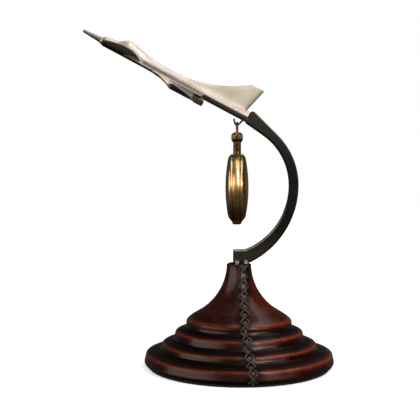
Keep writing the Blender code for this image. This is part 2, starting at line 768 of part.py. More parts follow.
wing_run = [WING_START + (WING_END - WING_START) * (i / WING_STATIONS) for i in range(WING_STATIONS + 1)]
for label, side in WING_SIDES:
    add("wing_" + label, lofted([wing_ring(u, side) for u in wing_run]), "nickel", jet)

# Engine pods under the wings, each with a dark intake body and two exhaust nozzles

POD_END = WING_END - POD_WING_MARGIN
POD_START = POD_END - POD_LENGTH
POD_LIP = POD_START + POD_RAMP
throat = POD_LIP + INTAKE_LENGTH * 0.2
intake_end = POD_LIP + INTAKE_LENGTH
ramp_steps = (0.15, 0.35, 0.5, 0.65, 0.85, 1)
pod_line = [(POD_START + POD_RAMP * t, POD_HEIGHT * t * t * (3 - 2 * t)) for t in ramp_steps]
pod_line += [
    (POD_LIP + GAP, POD_HEIGHT),
    (throat, INTAKE_TOP),
    (intake_end, POD_HEIGHT),
    (POD_END, POD_HEIGHT),
]
intake_outline = [
    (POD_LIP + 4 * GAP, -POD_HEIGHT),
    (intake_end - 8 * GAP, -POD_HEIGHT),
    (throat + GAP, -INTAKE_TOP - 2 * GAP),
]


def pod_ring(u, depth, side):
    """One cross-section of a pod, kept under the wing where the wing is narrow."""
    near = -POD_WIDTH / 2
    far = min(POD_WIDTH / 2, wing_reach(u) - POD_OFFSET - 2 * GAP)
    return [(u, side * y, v) for y, v in ((near, 0), (far, 0), (far, -depth), (near, -depth))]


droop = atan2(WING_DROOP, 1)
nozzle_outline = [
    (0, POD_END + GAP),
    (NOZZLE_RADIUS, POD_END + GAP),
    (NOZZLE_RADIUS, POD_END + NOZZLE_LENGTH * 0.6),
    (NOZZLE_RADIUS * 0.86, POD_END + NOZZLE_LENGTH),
    (NOZZLE_BORE, POD_END + NOZZLE_LENGTH),
    (NOZZLE_BORE, POD_END + NOZZLE_LENGTH - NOZZLE_BORE_DEPTH),
    (0, POD_END + NOZZLE_LENGTH - NOZZLE_BORE_DEPTH),
]
for label, side in WING_SIDES:
    seat = Vector((0, side * POD_OFFSET, wing_bottom(POD_OFFSET) - GAP))
    pod = empty("pod_frame_" + label, seat, Matrix.Rotation(-side * droop, 3, "X"), jet)
    half = POD_WIDTH / 2
    add("engine_pod_" + label, lofted([pod_ring(u, depth, side) for u, depth in pod_line]), "nickel", pod)
    add("intake_" + label, side_view(extruded(intake_outline, GAP - half, half - GAP)), "black", pod)
    for place, sideways in (("inner", -side), ("outer", side)):
        shift = (0, sideways * (NOZZLE_RADIUS + GAP / 2), -NOZZLE_RADIUS)
        add("nozzle_" + label + "_" + place, along_x(turned(nozzle_outline, 16)), "dark_nickel", pod, shift)

# Watch frames: the bow hangs from the hook's seat, and the watch swings on the bow's pins

BOW_TOP = BOW_PIVOT + 2 * BOW_RADIUS
dial_turn = Matrix.Rotation(WATCH_YAW, 3, "Z") @ Matrix(((0, 0, -1), (-1, 0, 0), (0, 1, 0)))
seat_point = Vector((tail.x - HOOK_BACK, 0, tail.y - HOOK_DROP))
bow_frame = empty("bow_frame", seat_point, dial_turn)
pivot_frame = empty("bow_pivot", (0, BOW_PIVOT - BOW_TOP, 0), None, bow_frame)
watch = empty("watch_frame", (0, -BOW_PIVOT, 0), None, pivot_frame)

# Hook: a bent wire in the jet's belly, with its free end turned up

bend = HOOK_WIRE + GAP + BOW_WIRE
prong = Vector((-sin(radians(HOOK_PRONG_LEAN)), cos(radians(HOOK_PRONG_LEAN))))
shank = Vector((sin(radians(HOOK_SHANK_LEAN)), cos(radians(HOOK_SHANK_LEAN))))
centre = Vector((seat_point.x, seat_point.z))
hook_arc = arc(centre, bend, 180 + HOOK_PRONG_LEAN, 360 - HOOK_SHANK_LEAN, 8)
rise_to_belly = (-BODY_BOTTOM - (Vector(hook_arc[-1]) - nose).dot(jet_up)) / shank.dot(jet_up)
hook_end = Vector(hook_arc[-1]) + shank * (rise_to_belly + HOOK_GRIP)
hook_route = [Vector(hook_arc[0]) + prong * HOOK_PRONG]
hook_route += [Vector(point) for point in hook_arc] + [hook_end]
add("watch_hook", wire([(p.x, 0, p.y) for p in hook_route], HOOK_WIRE, 2), "black")
socket = rod(HOOK_WIRE + GAP, -2 * HOOK_GRIP, GAP, 12)
socket_place = Vector((hook_end.x, 0, hook_end.y))
shank_turn = Matrix.Rotation(radians(HOOK_SHANK_LEAN), 4, "Y")
socket = moved(socket, to_jet.inverted() @ Matrix.Translation(socket_place) @ shank_turn)
tool(fuselage, socket, "DIFFERENCE")

# Bow: a ring of round wire whose ends turn in to the pendant

ring_centre = (0, -BOW_RADIUS)
ring = arc(ring_centre, BOW_RADIUS, -52, 232, 26)
pin_drop = BOW_PIVOT - BOW_TOP
turn_in = BOW_RADIUS * 0.45
bow_route = [(BOW_PIN_END, pin_drop), (turn_in, pin_drop)] + ring
bow_route += [(-turn_in, pin_drop), (-BOW_PIN_END, pin_drop)]
add("bow", wire([(x, y, 0) for x, y in bow_route], BOW_WIRE), "bronze", bow_frame)

# Case: band with hinge lugs, covers, hinge pins

band_outline = [
    (BAND_BORE, -LIP_HALF),
    (LIP_RADIUS, -LIP_HALF),
    (LIP_RADIUS, -BAND_HALF),
    (CASE_RADIUS - BAND_EDGE, -BAND_HALF),
    (CASE_RADIUS, BAND_EDGE - BAND_HALF),
    (CASE_RADIUS, BAND_HALF - BAND_EDGE),
    (CASE_RADIUS - BAND_EDGE, BAND_HALF),
    (LIP_RADIUS, BAND_HALF),
    (LIP_RADIUS, LIP_HALF),
    (BAND_BORE, LIP_HALF),
]
band = add("case_band", turned(band_outline, CASE_SIDES), "bronze", watch)
HINGE_DROP = -(CASE_RADIUS + KNUCKLE_RADIUS + GAP)
lug_low = KNUCKLE_HALF + GAP
lug_outline = arc((HINGE_OFFSET, HINGE_DROP), KNUCKLE_RADIUS, 0, -90, 4)
lug_outline += arc((-HINGE_OFFSET, HINGE_DROP), KNUCKLE_RADIUS, -90, -180, 4)
lug_root = -sqrt(CASE_RADIUS ** 2 - (lug_low + LUG_LENGTH) ** 2) + 2 * BAND_EDGE
narrow = BAND_HALF - 2 * BAND_EDGE
lug_outline += [(-narrow, lug_root), (narrow, lug_root)]
dial_side = Matrix.Rotation(-pi / 2, 4, "Y")
for side in (-1, 1):
    low, high = sorted((side * lug_low, side * (lug_low + LUG_LENGTH)))
    tool(band, moved(extruded(lug_outline, -high, -low), dial_side), "UNION")
pin_half = lug_low + LUG_LENGTH
pin_bore = HINGE_PIN_RADIUS + GAP
for level in (HINGE_OFFSET, -HINGE_OFFSET):
    bore = along_x(rod(pin_bore, -pin_half - GAP, pin_half + GAP, 12))
    tool(band, moved(bore, Matrix.Translation((0, HINGE_DROP, level))), "DIFFERENCE")
stem_bore = along_y(rod(PENDANT_BORE, BAND_BORE - 4 * GAP, CASE_RADIUS + 4 * GAP, 16))
tool(band, stem_bore, "DIFFERENCE")


def dome(radius):
    """Height of a cover's crown at a distance from its centre."""
    return COVER_TOP - (COVER_TOP - COVER_RIM_TOP) * (radius / DOME_RADIUS) ** 2


def cover_form():
    """A front cover, drawn in the dial frame."""
    rim_bottom = BAND_HALF + GAP
    rim_bore = LIP_RADIUS + GAP
    outline = [(r, dome(r)) for r in (DOME_RADIUS * share for share in (0, 0.3, 0.55, 0.78, 0.95))]
    outline += [
        (DOME_RADIUS, COVER_RIM_TOP - GROOVE_DEPTH),
        (DOME_RADIUS + 2 * GROOVE_DEPTH, COVER_RIM_TOP),
        (CASE_RADIUS - 2 * BAND_EDGE, COVER_RIM_TOP - 2 * BAND_EDGE),
        (CASE_RADIUS, COVER_RIM_TOP - 5 * BAND_EDGE),
        (CASE_RADIUS, rim_bottom + BAND_EDGE),
        (CASE_RADIUS - BAND_EDGE, rim_bottom),
        (rim_bore, rim_bottom),
        (rim_bore, LIP_HALF + GAP),
    ]
    outline += [(r, dome(r) - COVER_WALL) for r in (DOME_RADIUS * share for share in (0.95, 0.55, 0))]
    return turned(outline, CASE_SIDES)


tab_low = BAND_HALF + 1.5 * GAP
tab_root = 3 * BAND_EDGE - CASE_RADIUS
tab_turn = acos((tab_low - HINGE_OFFSET) / KNUCKLE_RADIUS) * 180 / pi
knuckle_outline = arc((HINGE_OFFSET, HINGE_DROP), KNUCKLE_RADIUS, tab_turn, 360, 12)
knuckle_outline += [(COVER_RIM_TOP - 4 * BAND_EDGE, tab_root), (tab_low, tab_root)]
knuckle = moved(extruded(knuckle_outline, -KNUCKLE_HALF, KNUCKLE_HALF), dial_side)
cover_bore = along_x(rod(pin_bore, -pin_half, pin_half, 12))
moved(cover_bore, Matrix.Translation((0, HINGE_DROP, HINGE_OFFSET)))
for name, turn in (("front", 0), ("back", pi)):
    about = Matrix.Rotation(turn, 4, "Y")
    hinge = Vector((0, HINGE_DROP, HINGE_OFFSET * cos(turn)))
    to_hinge = Matrix.Translation(-hinge) @ about
    cover = add(name + "_cover", moved(cover_form(), to_hinge), "bronze", watch, hinge)
    tool(cover, moved(knuckle.copy(), to_hinge), "UNION")
    tool(cover, moved(cover_bore.copy(), to_hinge), "DIFFERENCE")
    pin = along_x(rod(HINGE_PIN_RADIUS, -pin_half, pin_half, 12))
    add(name + "_hinge_pin", pin, "steel", watch, hinge)

# Pendant, winding sleeve, crown and stem, all along the dial frame's Y axis

pendant_low = CASE_RADIUS + GAP
pendant_top = pendant_low + PENDANT_LENGTH
pendant_outline = [
    (PENDANT_BORE, pendant_low),
    (PENDANT_RADIUS, pendant_low),
    (PENDANT_RADIUS, pendant_top - BAND_EDGE),
    (PENDANT_RADIUS - BAND_EDGE, pendant_top),
    (PENDANT_BORE, pendant_top),
]
pendant = add("pendant", along_y(turned(pendant_outline, 16)), "bronze", watch)
pivot_bore = along_x(rod(BOW_WIRE + GAP, -2 * PENDANT_RADIUS, 2 * PENDANT_RADIUS, 12))
tool(pendant, moved(pivot_bore, Matrix.Translation((0, BOW_PIVOT, 0))), "DIFFERENCE")

stem_half = STEM_SIDE / sqrt(2)
sleeve_top = pendant_top - GAP
sleeve = add("winding_sleeve", along_y(rod(SLEEVE_RADIUS, SLEEVE_START, sleeve_top, 16)), "steel", watch)
square = rod(stem_half + GAP * sqrt(2), SLEEVE_START - GAP, sleeve_top + GAP, 4)
tool(sleeve, along_y(square), "DIFFERENCE")

crown_low = pendant_top + CROWN_LIFT
crown_top = crown_low + CROWN_HEIGHT
band_low = crown_low + CROWN_SKIRT
band_high = band_low + CROWN_BAND
stem_bore_radius = stem_half + GAP
stem_top = band_high
crown_outline = [
    (stem_bore_radius, stem_top + GAP),
    (stem_bore_radius, crown_low),
    (CROWN_RADIUS * 0.72, crown_low),
    (CROWN_RADIUS, band_low),
    (CROWN_RADIUS, band_high),
]
crown_outline = [(0, stem_top + GAP)] + crown_outline
crown_dome = crown_top - band_high
crown_outline += [(CROWN_RADIUS * 0.93 * cos(a), band_high + crown_dome * sin(a))
                  for a in (radians(10), radians(35), radians(62))]
crown_outline.append((0, crown_top))
crown_form = turned(crown_outline, CROWN_FLUTES * 2)
for corner in crown_form.verts:
    on_band = abs(hypot(corner.co.x, corner.co.y) - CROWN_RADIUS) < GAP / 10
    step = round(atan2(corner.co.y, corner.co.x) / tau * CROWN_FLUTES * 2)
    if on_band and step % 2:
        corner.co.x *= FLUTE_SHARE
        corner.co.y *= FLUTE_SHARE
add("crown", along_y(crown_form), "bronze", watch)
add("crown_stem", along_y(rod(stem_half, STEM_START, stem_top, 4)), "steel", watch)

# Dial side: bezel, crystal, dial

seat_level = CRYSTAL_BOTTOM - GAP
bezel_outline = [
    (BEZEL_BORE, BEZEL_BOTTOM),
    (BEZEL_RADIUS, BEZEL_BOTTOM),
    (BEZEL_RADIUS, seat_level),
    (CRYSTAL_RADIUS + 3 * GAP, BEZEL_TOP),
    (CRYSTAL_RADIUS + GAP, BEZEL_TOP),
    (CRYSTAL_RADIUS + GAP, seat_level),
    (BEZEL_BORE, seat_level),
]
add("bezel", turned(bezel_outline, 28), "brass", watch)
glass_outline = [(CRYSTAL_RADIUS * s, CRYSTAL_BOTTOM + CRYSTAL_DOME * (1 - s * s)) for s in (0, 0.6, 1)]
glass_outline += [(r, z + CRYSTAL) for r, z in reversed(glass_outline)]
add("crystal", turned(glass_outline, 24), "glass", watch)
dial_top = DIAL_BOTTOM + DIAL
dial_bore = HOUR_PIPE + GAP
dial_outline = [
    (dial_bore, DIAL_BOTTOM),
    (DIAL_RADIUS, DIAL_BOTTOM),
    (DIAL_RADIUS, dial_top),
    (dial_bore, dial_top),
]
dial = add("dial", turned(dial_outline, 28), "dial", watch)
seconds_bore = rod(2 * ARBOR, DIAL_BOTTOM - GAP, dial_top + GAP, 12)
seconds_place = Matrix.Translation((0, -SECONDS_DROP, 0))
tool(dial, moved(seconds_bore, seconds_place), "DIFFERENCE")

# Movement ring, cover springs, main plate

ring_outline = [
    (RING_BORE, RING_BOTTOM),
    (RING_RADIUS, RING_BOTTOM),
    (RING_RADIUS, RING_TOP),
    (RING_BORE, RING_TOP),
]
movement_ring = add("movement_ring", turned(ring_outline, 28), "plastic", watch)
ring_hole = along_y(rod(PENDANT_BORE, RING_BORE - 4 * GAP, RING_RADIUS + 4 * GAP, 16))
tool(movement_ring, ring_hole, "DIFFERENCE")
spring_outer = BAND_BORE - GAP
for name, start, end in (("lock_spring", 100, 172), ("lift_spring", 8, 80)):
    leaf = arc((0, 0), spring_outer, start, end, 12) + arc((0, 0), spring_outer - SPRING, end, start, 12)
    add(name, extruded(leaf, -SPRING_HEIGHT / 2, SPRING_HEIGHT / 2), "steel", watch)

third_drive = TRAIN_MODULE * (CENTRE_TEETH + PINION_LEAVES) / 2
seconds_drive = TRAIN_MODULE * (THIRD_TEETH + PINION_LEAVES) / 2
third_drop = (third_drive ** 2 - seconds_drive ** 2 + SECONDS_DROP ** 2) / (2 * SECONDS_DROP)
CENTRE = Vector((0, 0))
THIRD = Vector((sqrt(third_drive ** 2 - third_drop ** 2), -third_drop))
SECONDS = Vector((0, -SECONDS_DROP))
intermediate_drive = TRAIN_MODULE * (SECONDS_TEETH + PINION_LEAVES) / 2
INTERMEDIATE = SECONDS + intermediate_drive * Vector((cos(INTERMEDIATE_AT), sin(INTERMEDIATE_AT)))
rotor_drive = TRAIN_MODULE * (INTERMEDIATE_TEETH + PINION_LEAVES) / 2
ROTOR = INTERMEDIATE + rotor_drive * Vector((cos(ROTOR_AT), sin(ROTOR_AT)))
motion_drive = MOTION_MODULE * (CANNON_TEETH + MINUTE_WHEEL_TEETH) / 2
MINUTE_WHEEL = motion_drive * Vector((cos(MINUTE_WHEEL_AT), sin(MINUTE_WHEEL_AT)))

plate = add("main_plate", rod(PLATE_RADIUS, PLATE_BOTTOM, PLATE_TOP, 32), "brass", watch)
plate_holes = (
    (CENTRE, CENTRE_ARBOR),
    (THIRD, ARBOR),
    (SECONDS, ARBOR),
    (INTERMEDIATE, ARBOR),
    (ROTOR, ARBOR),
    (MINUTE_WHEEL, ARBOR),
)
for place, radius in plate_holes:
    hole = rod(radius + GAP, PLATE_BOTTOM - GAP, PLATE_TOP + GAP, 8)
    tool(plate, moved(hole, Matrix.Translation((*place, 0))), "DIFFERENCE")
stem_socket = along_y(rod(stem_half + GAP, STEM_START - 5 * GAP, PLATE_RADIUS + GAP, 12))
tool(plate, stem_socket, "DIFFERENCE")

# Train and motion work: toothed wheels that mesh at rest


def toothed(teeth, module, phase, addendum):
    """A gear outline with pointed teeth."""
    crest = teeth * module / 2 + addendum * module
    root = teeth * module / 2 - 1.2 * module
    outline = []
    for i in range(2 * teeth):
        angle = phase + tau * i / (2 * teeth)
        radius = root if i % 2 else crest
        outline.append((radius * cos(angle), radius * sin(angle)))
    return outline


def meshing(phase, teeth, place, other, other_teeth):
    """The phase of a gear whose teeth stand in the gaps of its neighbour's."""
    toward = atan2(other.y - place.y, other.x - place.x)
    share = (toward - phase) * teeth / tau
    return toward + pi - (0.5 - share) * tau / other_teeth


def level(step):
    """Height of one of the train's levels below the plate."""
    return FIRST_LEVEL - LEVEL_STEP * step


def gear(teeth, module, phase, low, high, addendum):
    """One toothed disc between two heights."""
    return extruded(toothed(teeth, module, phase, addendum), low, high)


def wheel_piece(name, place, finish, arbor, wheel, pinion):
    """A wheel and its pinion on one arbor; each gear is (teeth, module, phase, low, high)."""
    radius, low, high = arbor
    piece = add(name, rod(radius, low, high, 8), finish, watch, (*place, 0))
    for size, addendum in ((wheel, 0.75), (pinion, 0.65)):
        if size:
            tool(piece, gear(*size, addendum), "UNION")
    return piece


half_wheel = WHEEL / 2
BRIDGE_BOTTOM = BRIDGE_TOP - BRIDGE
pivot_low = BRIDGE_BOTTOM + GAP
pivot_high = PLATE_TOP - GAP


def on_level(step):
    """Bottom and top of a wheel on one of the train's levels."""
    return level(step) - WHEEL, level(step)


def pinion_on(step):
    """Bottom and top of a pinion that meets a wheel on one of the train's levels."""
    return level(step) - WHEEL - half_wheel, level(step) + half_wheel


third_pinion_phase = meshing(0, CENTRE_TEETH, CENTRE, THIRD, PINION_LEAVES)
third_phase = 0
seconds_pinion_phase = meshing(third_phase, THIRD_TEETH, THIRD, SECONDS, PINION_LEAVES)
seconds_phase = 0
intermediate_pinion_phase = meshing(seconds_phase, SECONDS_TEETH, SECONDS, INTERMEDIATE, PINION_LEAVES)
intermediate_phase = 0
rotor_phase = meshing(intermediate_phase, INTERMEDIATE_TEETH, INTERMEDIATE, ROTOR, PINION_LEAVES)
minute_phase = meshing(0, CANNON_TEETH, CENTRE, MINUTE_WHEEL, MINUTE_WHEEL_TEETH)
hour_phase = meshing(0, MINUTE_PINION_TEETH, MINUTE_WHEEL, CENTRE, HOUR_TEETH)

minute_top = MINUTE_HAND_LEVEL + 2 * HAND
centre_wheel = (CENTRE_TEETH, TRAIN_MODULE, 0, *on_level(0))
wheel_piece("centre_wheel", CENTRE, "brass", (CENTRE_ARBOR, pivot_low, minute_top), centre_wheel, None)
wheel_piece("third_wheel", THIRD, "brass", (ARBOR, pivot_low, pivot_high),
            (THIRD_TEETH, TRAIN_MODULE, third_phase, *on_level(1)),
            (PINION_LEAVES, TRAIN_MODULE, third_pinion_phase, *pinion_on(0)))
seconds_top = SECONDS_HAND_LEVEL + 1.5 * HAND
wheel_piece("seconds_wheel", SECONDS, "brass", (ARBOR, pivot_low, seconds_top),
            (SECONDS_TEETH, TRAIN_MODULE, seconds_phase, *on_level(2)),
            (PINION_LEAVES, TRAIN_MODULE, seconds_pinion_phase, *pinion_on(1)))
wheel_piece("intermediate_wheel", INTERMEDIATE, "brass", (ARBOR, pivot_low, pivot_high),
            (INTERMEDIATE_TEETH, TRAIN_MODULE, intermediate_phase, *on_level(3)),
            (PINION_LEAVES, TRAIN_MODULE, intermediate_pinion_phase, *pinion_on(2)))
rotor = wheel_piece("rotor", ROTOR, "steel", (ARBOR, pivot_low, pivot_high), None,
                    (PINION_LEAVES, TRAIN_MODULE, rotor_phase, *pinion_on(3)))
magnet_top = PLATE_BOTTOM - GAP
tool(rotor, rod(MAGNET_RADIUS, magnet_top - MAGNET_HEIGHT, magnet_top, 16), "UNION")

motion_low = PLATE_TOP + GAP / 2
minute_level = (motion_low, motion_low + WHEEL)
hour_level = (minute_level[1] + GAP / 2, minute_level[1] + GAP / 2 + WHEEL)
cannon_arbor = (CANNON_PIPE, motion_low, MINUTE_HAND_LEVEL - GAP)
cannon_gear = (CANNON_TEETH, MOTION_MODULE, 0, *minute_level)
cannon_pinion = wheel_piece("cannon_pinion", CENTRE, "steel", cannon_arbor, cannon_gear, None)
tool(cannon_pinion, rod(CENTRE_ARBOR + GAP, motion_low - GAP, MINUTE_HAND_LEVEL, 12), "DIFFERENCE")
wheel_piece("minute_wheel", MINUTE_WHEEL, "brass", (ARBOR, PLATE_BOTTOM + GAP, hour_level[1]),
            (MINUTE_WHEEL_TEETH, MOTION_MODULE, minute_phase, *minute_level),
            (MINUTE_PINION_TEETH, MOTION_MODULE, 0, minute_level[0], hour_level[1]))
hour_wheel = wheel_piece("hour_wheel", CENTRE, "brass", (HOUR_PIPE, hour_level[0], HOUR_HAND_LEVEL - GAP),
                         (HOUR_TEETH, MOTION_MODULE, hour_phase, *hour_level), None)
tool(hour_wheel, rod(CANNON_PIPE + GAP, hour_level[0] - GAP, HOUR_HAND_LEVEL, 16), "DIFFERENCE")

# Hands: a boss with a tapered pointer, bored to sit over its pipe


def hand(name, place, level_low, boss, bore, length, tail, width, heading):
    """A hand that points along an angle from 12 o'clock."""
    outline = [(-width / 2, -tail), (width / 2, -tail), (width / 2, 0), (width * 0.8, length * 0.6),
               (0, length), (-width * 0.8, length * 0.6), (-width / 2, 0)]
    pointer = moved(extruded(outline, level_low, level_low + HAND), Matrix.Rotation(heading, 4, "Z"))
    piece = add(name, pointer, "blued", watch, (*place, 0))
    tool(piece, rod(boss, level_low, level_low + HAND, 12), "UNION")
    if bore:
        tool(piece, rod(bore, level_low - GAP, level_low + 2 * HAND, 12), "DIFFERENCE")


hand("hour_hand", CENTRE, HOUR_HAND_LEVEL, HOUR_PIPE, CANNON_PIPE + GAP, HOUR_HAND_LENGTH, HOUR_PIPE,
     HOUR_HAND_WIDTH, -HOUR_AT)
hand("minute_hand", CENTRE, MINUTE_HAND_LEVEL, CANNON_PIPE + GAP, CENTRE_ARBOR + GAP, MINUTE_HAND_LENGTH,
     3 * CANNON_PIPE, MINUTE_HAND_WIDTH, -MINUTE_AT)
hand("seconds_hand", SECONDS, SECONDS_HAND_LEVEL, 3 * ARBOR, 2 * ARBOR, SECONDS_HAND_LENGTH, 5 * ARBOR,
     SECONDS_HAND_WIDTH, 0)

# Train bridge on its pillars, with two screws

turn = asin(BRIDGE_EDGE / BRIDGE_RADIUS) * 180 / pi
bridge_outline = arc((0, 0), BRIDGE_RADIUS, 180 - turn, 360 + turn, 16)
bridge = add("train_bridge", extruded(bridge_outline, BRIDGE_BOTTOM, BRIDGE_TOP), "brass", watch)
pillar_reach = BRIDGE_RADIUS - PILLAR_RADIUS - 2 * GAP
pillars = [pillar_reach * Vector((cos(a), sin(a))) for a in (radians(-30), radians(-118))]
for place in pillars:
    post = rod(PILLAR_RADIUS, BRIDGE_TOP - GAP, PLATE_BOTTOM - GAP, 12)
    tool(bridge, moved(post, Matrix.Translation((*place, 0))), "UNION")
for place, radius in plate_holes[:5]:
    hole = rod(radius + GAP, BRIDGE_BOTTOM - GAP, BRIDGE_TOP + GAP, 8)
    tool(bridge, moved(hole, Matrix.Translation((*place, 0))), "DIFFERENCE")
for number, place in enumerate(pillars, 1):
    head_top = BRIDGE_BOTTOM - GAP
    head = rod(SCREW_RADIUS, head_top - SCREW_HEAD, head_top, 16)
    screw = add("bridge_screw_" + str(number), head, "steel", watch, (*place, 0))
    slot = [(-SCREW_RADIUS * 2, -SCREW_SLOT / 2), (SCREW_RADIUS * 2, -SCREW_SLOT / 2),
            (SCREW_RADIUS * 2, SCREW_SLOT / 2), (-SCREW_RADIUS * 2, SCREW_SLOT / 2)]
    cut = extruded(slot, head_top - 2 * SCREW_HEAD, head_top - SCREW_HEAD / 2)
    tool(screw, cut, "DIFFERENCE")

# Drive: stator round the rotor, coil, circuit board and coin cell

seat_top = PLATE_BOTTOM - GAP
stator_high = seat_top - GAP
left_leg = ROTOR.x - STATOR_LEFT
right_leg = ROTOR.x + STATOR_RIGHT
notch = ROTOR.y + STATOR_POLE
stator_outline = [
    (left_leg, ROTOR.y - STATOR_POLE),
    (right_leg, ROTOR.y - STATOR_POLE),
    (right_leg, STATOR_END),
    (right_leg - STATOR_LEG, STATOR_END),
    (right_leg - STATOR_LEG, notch),
    (left_leg + STATOR_LEG, notch),
    (left_leg + STATOR_LEG, STATOR_END),
    (left_leg, STATOR_END),
]
stator = add("stator", extruded(stator_outline, stator_high - STATOR, stator_high), "steel", watch)
rotor_hole = rod(MAGNET_RADIUS + GAP, stator_high - 2 * STATOR, stator_high + GAP, 16)
tool(stator, moved(rotor_hole, Matrix.Translation((*ROTOR, 0))), "DIFFERENCE")
coil_flange = COIL_RADIUS * 0.25
coil_end = COIL_LENGTH / 2
coil_outline = [
    (0, -coil_end),
    (COIL_RADIUS, -coil_end),
    (COIL_RADIUS, coil_flange - coil_end),
    (COIL_RADIUS - coil_flange, coil_flange - coil_end),
    (COIL_RADIUS - coil_flange, coil_end - coil_flange),
    (COIL_RADIUS, coil_end - coil_flange),
    (COIL_RADIUS, coil_end),
    (0, coil_end),
]
coil_place = ((left_leg + right_leg) / 2, STATOR_END + COIL_RADIUS + GAP, seat_top - COIL_RADIUS)
add("drive_coil", along_x(turned(coil_outline, 16)), "copper", watch, coil_place)
board_low = coil_place[1] + COIL_RADIUS + GAP
board_outline = [
    (BOARD_LEFT, board_low),
    (BOARD_RIGHT, board_low),
    (BOARD_RIGHT, BOARD_END),
    (BOARD_LEFT, BOARD_END),
]
add("circuit_board", extruded(board_outline, seat_top - BOARD, seat_top), "board", watch)
cell_edge = CELL_RADIUS * 0.06
cell_low = seat_top - CELL_HEIGHT
cell_outline = [
    (0, cell_low),
    (CELL_RADIUS - 2 * cell_edge, cell_low),
    (CELL_RADIUS, cell_low + 2 * cell_edge),
    (CELL_RADIUS, seat_top),
    (0, seat_top),
]
add("coin_cell", turned(cell_outline, 28), "steel", watch, (*CELL_AT, 0))
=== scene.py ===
"""Looks of a desk stand for a pocket watch: laced leather base, crescent arm, delta jet and hunter watch.

Forms are drawn in millimetres and settled in metres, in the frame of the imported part.
"""

import json
from math import acos, asin, atan2, cos, exp, hypot, pi, radians, sin, sqrt, tau

import bmesh
import bpy
from mathutils import Matrix, Vector, noise

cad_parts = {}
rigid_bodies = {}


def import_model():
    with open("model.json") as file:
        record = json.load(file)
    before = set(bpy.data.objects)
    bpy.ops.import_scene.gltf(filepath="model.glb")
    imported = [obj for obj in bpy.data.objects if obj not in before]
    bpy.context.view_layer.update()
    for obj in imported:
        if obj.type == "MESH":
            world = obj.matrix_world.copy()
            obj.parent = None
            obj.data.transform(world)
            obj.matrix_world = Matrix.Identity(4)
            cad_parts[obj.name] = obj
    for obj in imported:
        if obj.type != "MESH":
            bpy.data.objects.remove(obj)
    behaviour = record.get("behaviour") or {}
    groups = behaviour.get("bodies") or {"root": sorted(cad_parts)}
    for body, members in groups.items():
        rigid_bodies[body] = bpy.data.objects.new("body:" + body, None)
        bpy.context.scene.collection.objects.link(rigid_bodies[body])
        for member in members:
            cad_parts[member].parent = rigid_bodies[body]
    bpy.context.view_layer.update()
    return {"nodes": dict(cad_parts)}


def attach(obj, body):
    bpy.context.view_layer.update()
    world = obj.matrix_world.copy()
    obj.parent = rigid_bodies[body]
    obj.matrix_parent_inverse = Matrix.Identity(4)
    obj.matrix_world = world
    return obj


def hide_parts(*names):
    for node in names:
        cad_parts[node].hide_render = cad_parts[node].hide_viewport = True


for item in list(bpy.data.objects):
    bpy.data.objects.remove(item, do_unlink=True)
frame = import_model()
scene = bpy.context.scene
scene.view_settings.view_transform = "Standard"


# Felt pad: a disc of black wool felt, die-cut and glued under the base.
# Its corner is soft, and pressed fibres give it a cloudy, lustreless face.

FELT_RADIUS = 64.0
FELT_THICKNESS = 1.2
FELT_CORNER = 0.25
CREASE = 40


def linear(code):
    """A linear colour from an sRGB hex value."""
    parts = [int(code[i:i + 2], 16) / 255 for i in (0, 2, 4)]
    return [p / 12.92 if p <= 0.04045 else ((p + 0.055) / 1.055) ** 2.4 for p in parts] + [1.0]


def node(tree, kind, inputs=(), stops=(), out=None, to=None, **settings):
    """Adds a node and returns its output: settings are its properties, inputs its sockets' values or links, stops
    its ramp's colours, out its output's name where that isn't the first, and to the socket that it feeds."""
    made = tree.nodes.new("ShaderNode" + kind)
    for key, value in settings.items():
        setattr(made, key, value)
    for key, value in dict(inputs).items():
        if isinstance(value, bpy.types.NodeSocket):
            tree.links.new(value, made.inputs[key])
        else:
            made.inputs[key].default_value = value
    for number, (at, code) in enumerate(stops):
        steps = made.color_ramp.elements
        step = steps[number] if number < 2 else steps.new(at)
        step.position = at
        step.color = linear(code)
    result = made.outputs[out] if out else next(socket for socket in made.outputs if socket.enabled)
    if to is not None:
        tree.links.new(result, to)
    return result


def finish(name, **values):
    """A new material: itself, its nodes and its shader's sockets, with the constant ones set."""
    material = bpy.data.materials.new(name)
    material.use_nodes = True
    shader = material.node_tree.nodes["Principled BSDF"].inputs
    for key, value in values.items():
        shader[key.replace("_", " ")].default_value = value
    return material, material.node_tree, shader


def grained(name, size, dark, light, rough, relief=0.0, depth=0.0001, shares=(0.30, 0.72), across=(0.3, 0.7),
            detail=4.0, twist=0.0, laid=(), **values):
    """A material that a noise varies between two colours, and in roughness and relief; its size is in metres."""
    material, tree, shader = finish(name, **values)
    place = node(tree, "TexCoord", out="Object")
    sizes = size if isinstance(size, tuple) else (size,) * 3
    spots = node(tree, "Mapping", {"Vector": place, "Scale": sizes, **dict(laid)}, vector_type="TEXTURE")
    grain = node(tree, "TexNoise", {"Vector": spots, "Scale": 1.0, "Detail": detail, "Distortion": twist})
    node(tree, "ValToRGB", {"Fac": grain}, zip(shares, (dark, light)), to=shader["Base Color"])
    if isinstance(rough, tuple):
        node(tree, "MapRange", {"Value": grain, "From Min": across[0], "From Max": across[1],
                                "To Min": rough[0], "To Max": rough[1]}, to=shader["Roughness"])
    else:
        shader["Roughness"].default_value = rough
    if relief:
        node(tree, "Bump", {"Height": grain, "Strength": relief, "Distance": depth}, to=shader["Normal"])
    return material


def pushed(form, faces, by):
    """Extrudes faces along a vector and returns what that made."""
    made = bmesh.ops.extrude_face_region(form, geom=faces)["geom"]
    bmesh.ops.translate(form, vec=by, verts=[part for part in made if isinstance(part, bmesh.types.BMVert)])
    return made


def rounded(form, edges, offset, segments):
    """Rounds edges off."""
    bmesh.ops.bevel(form, geom=edges, offset=offset, affect="EDGES", segments=segments, profile=0.5, material=-1)


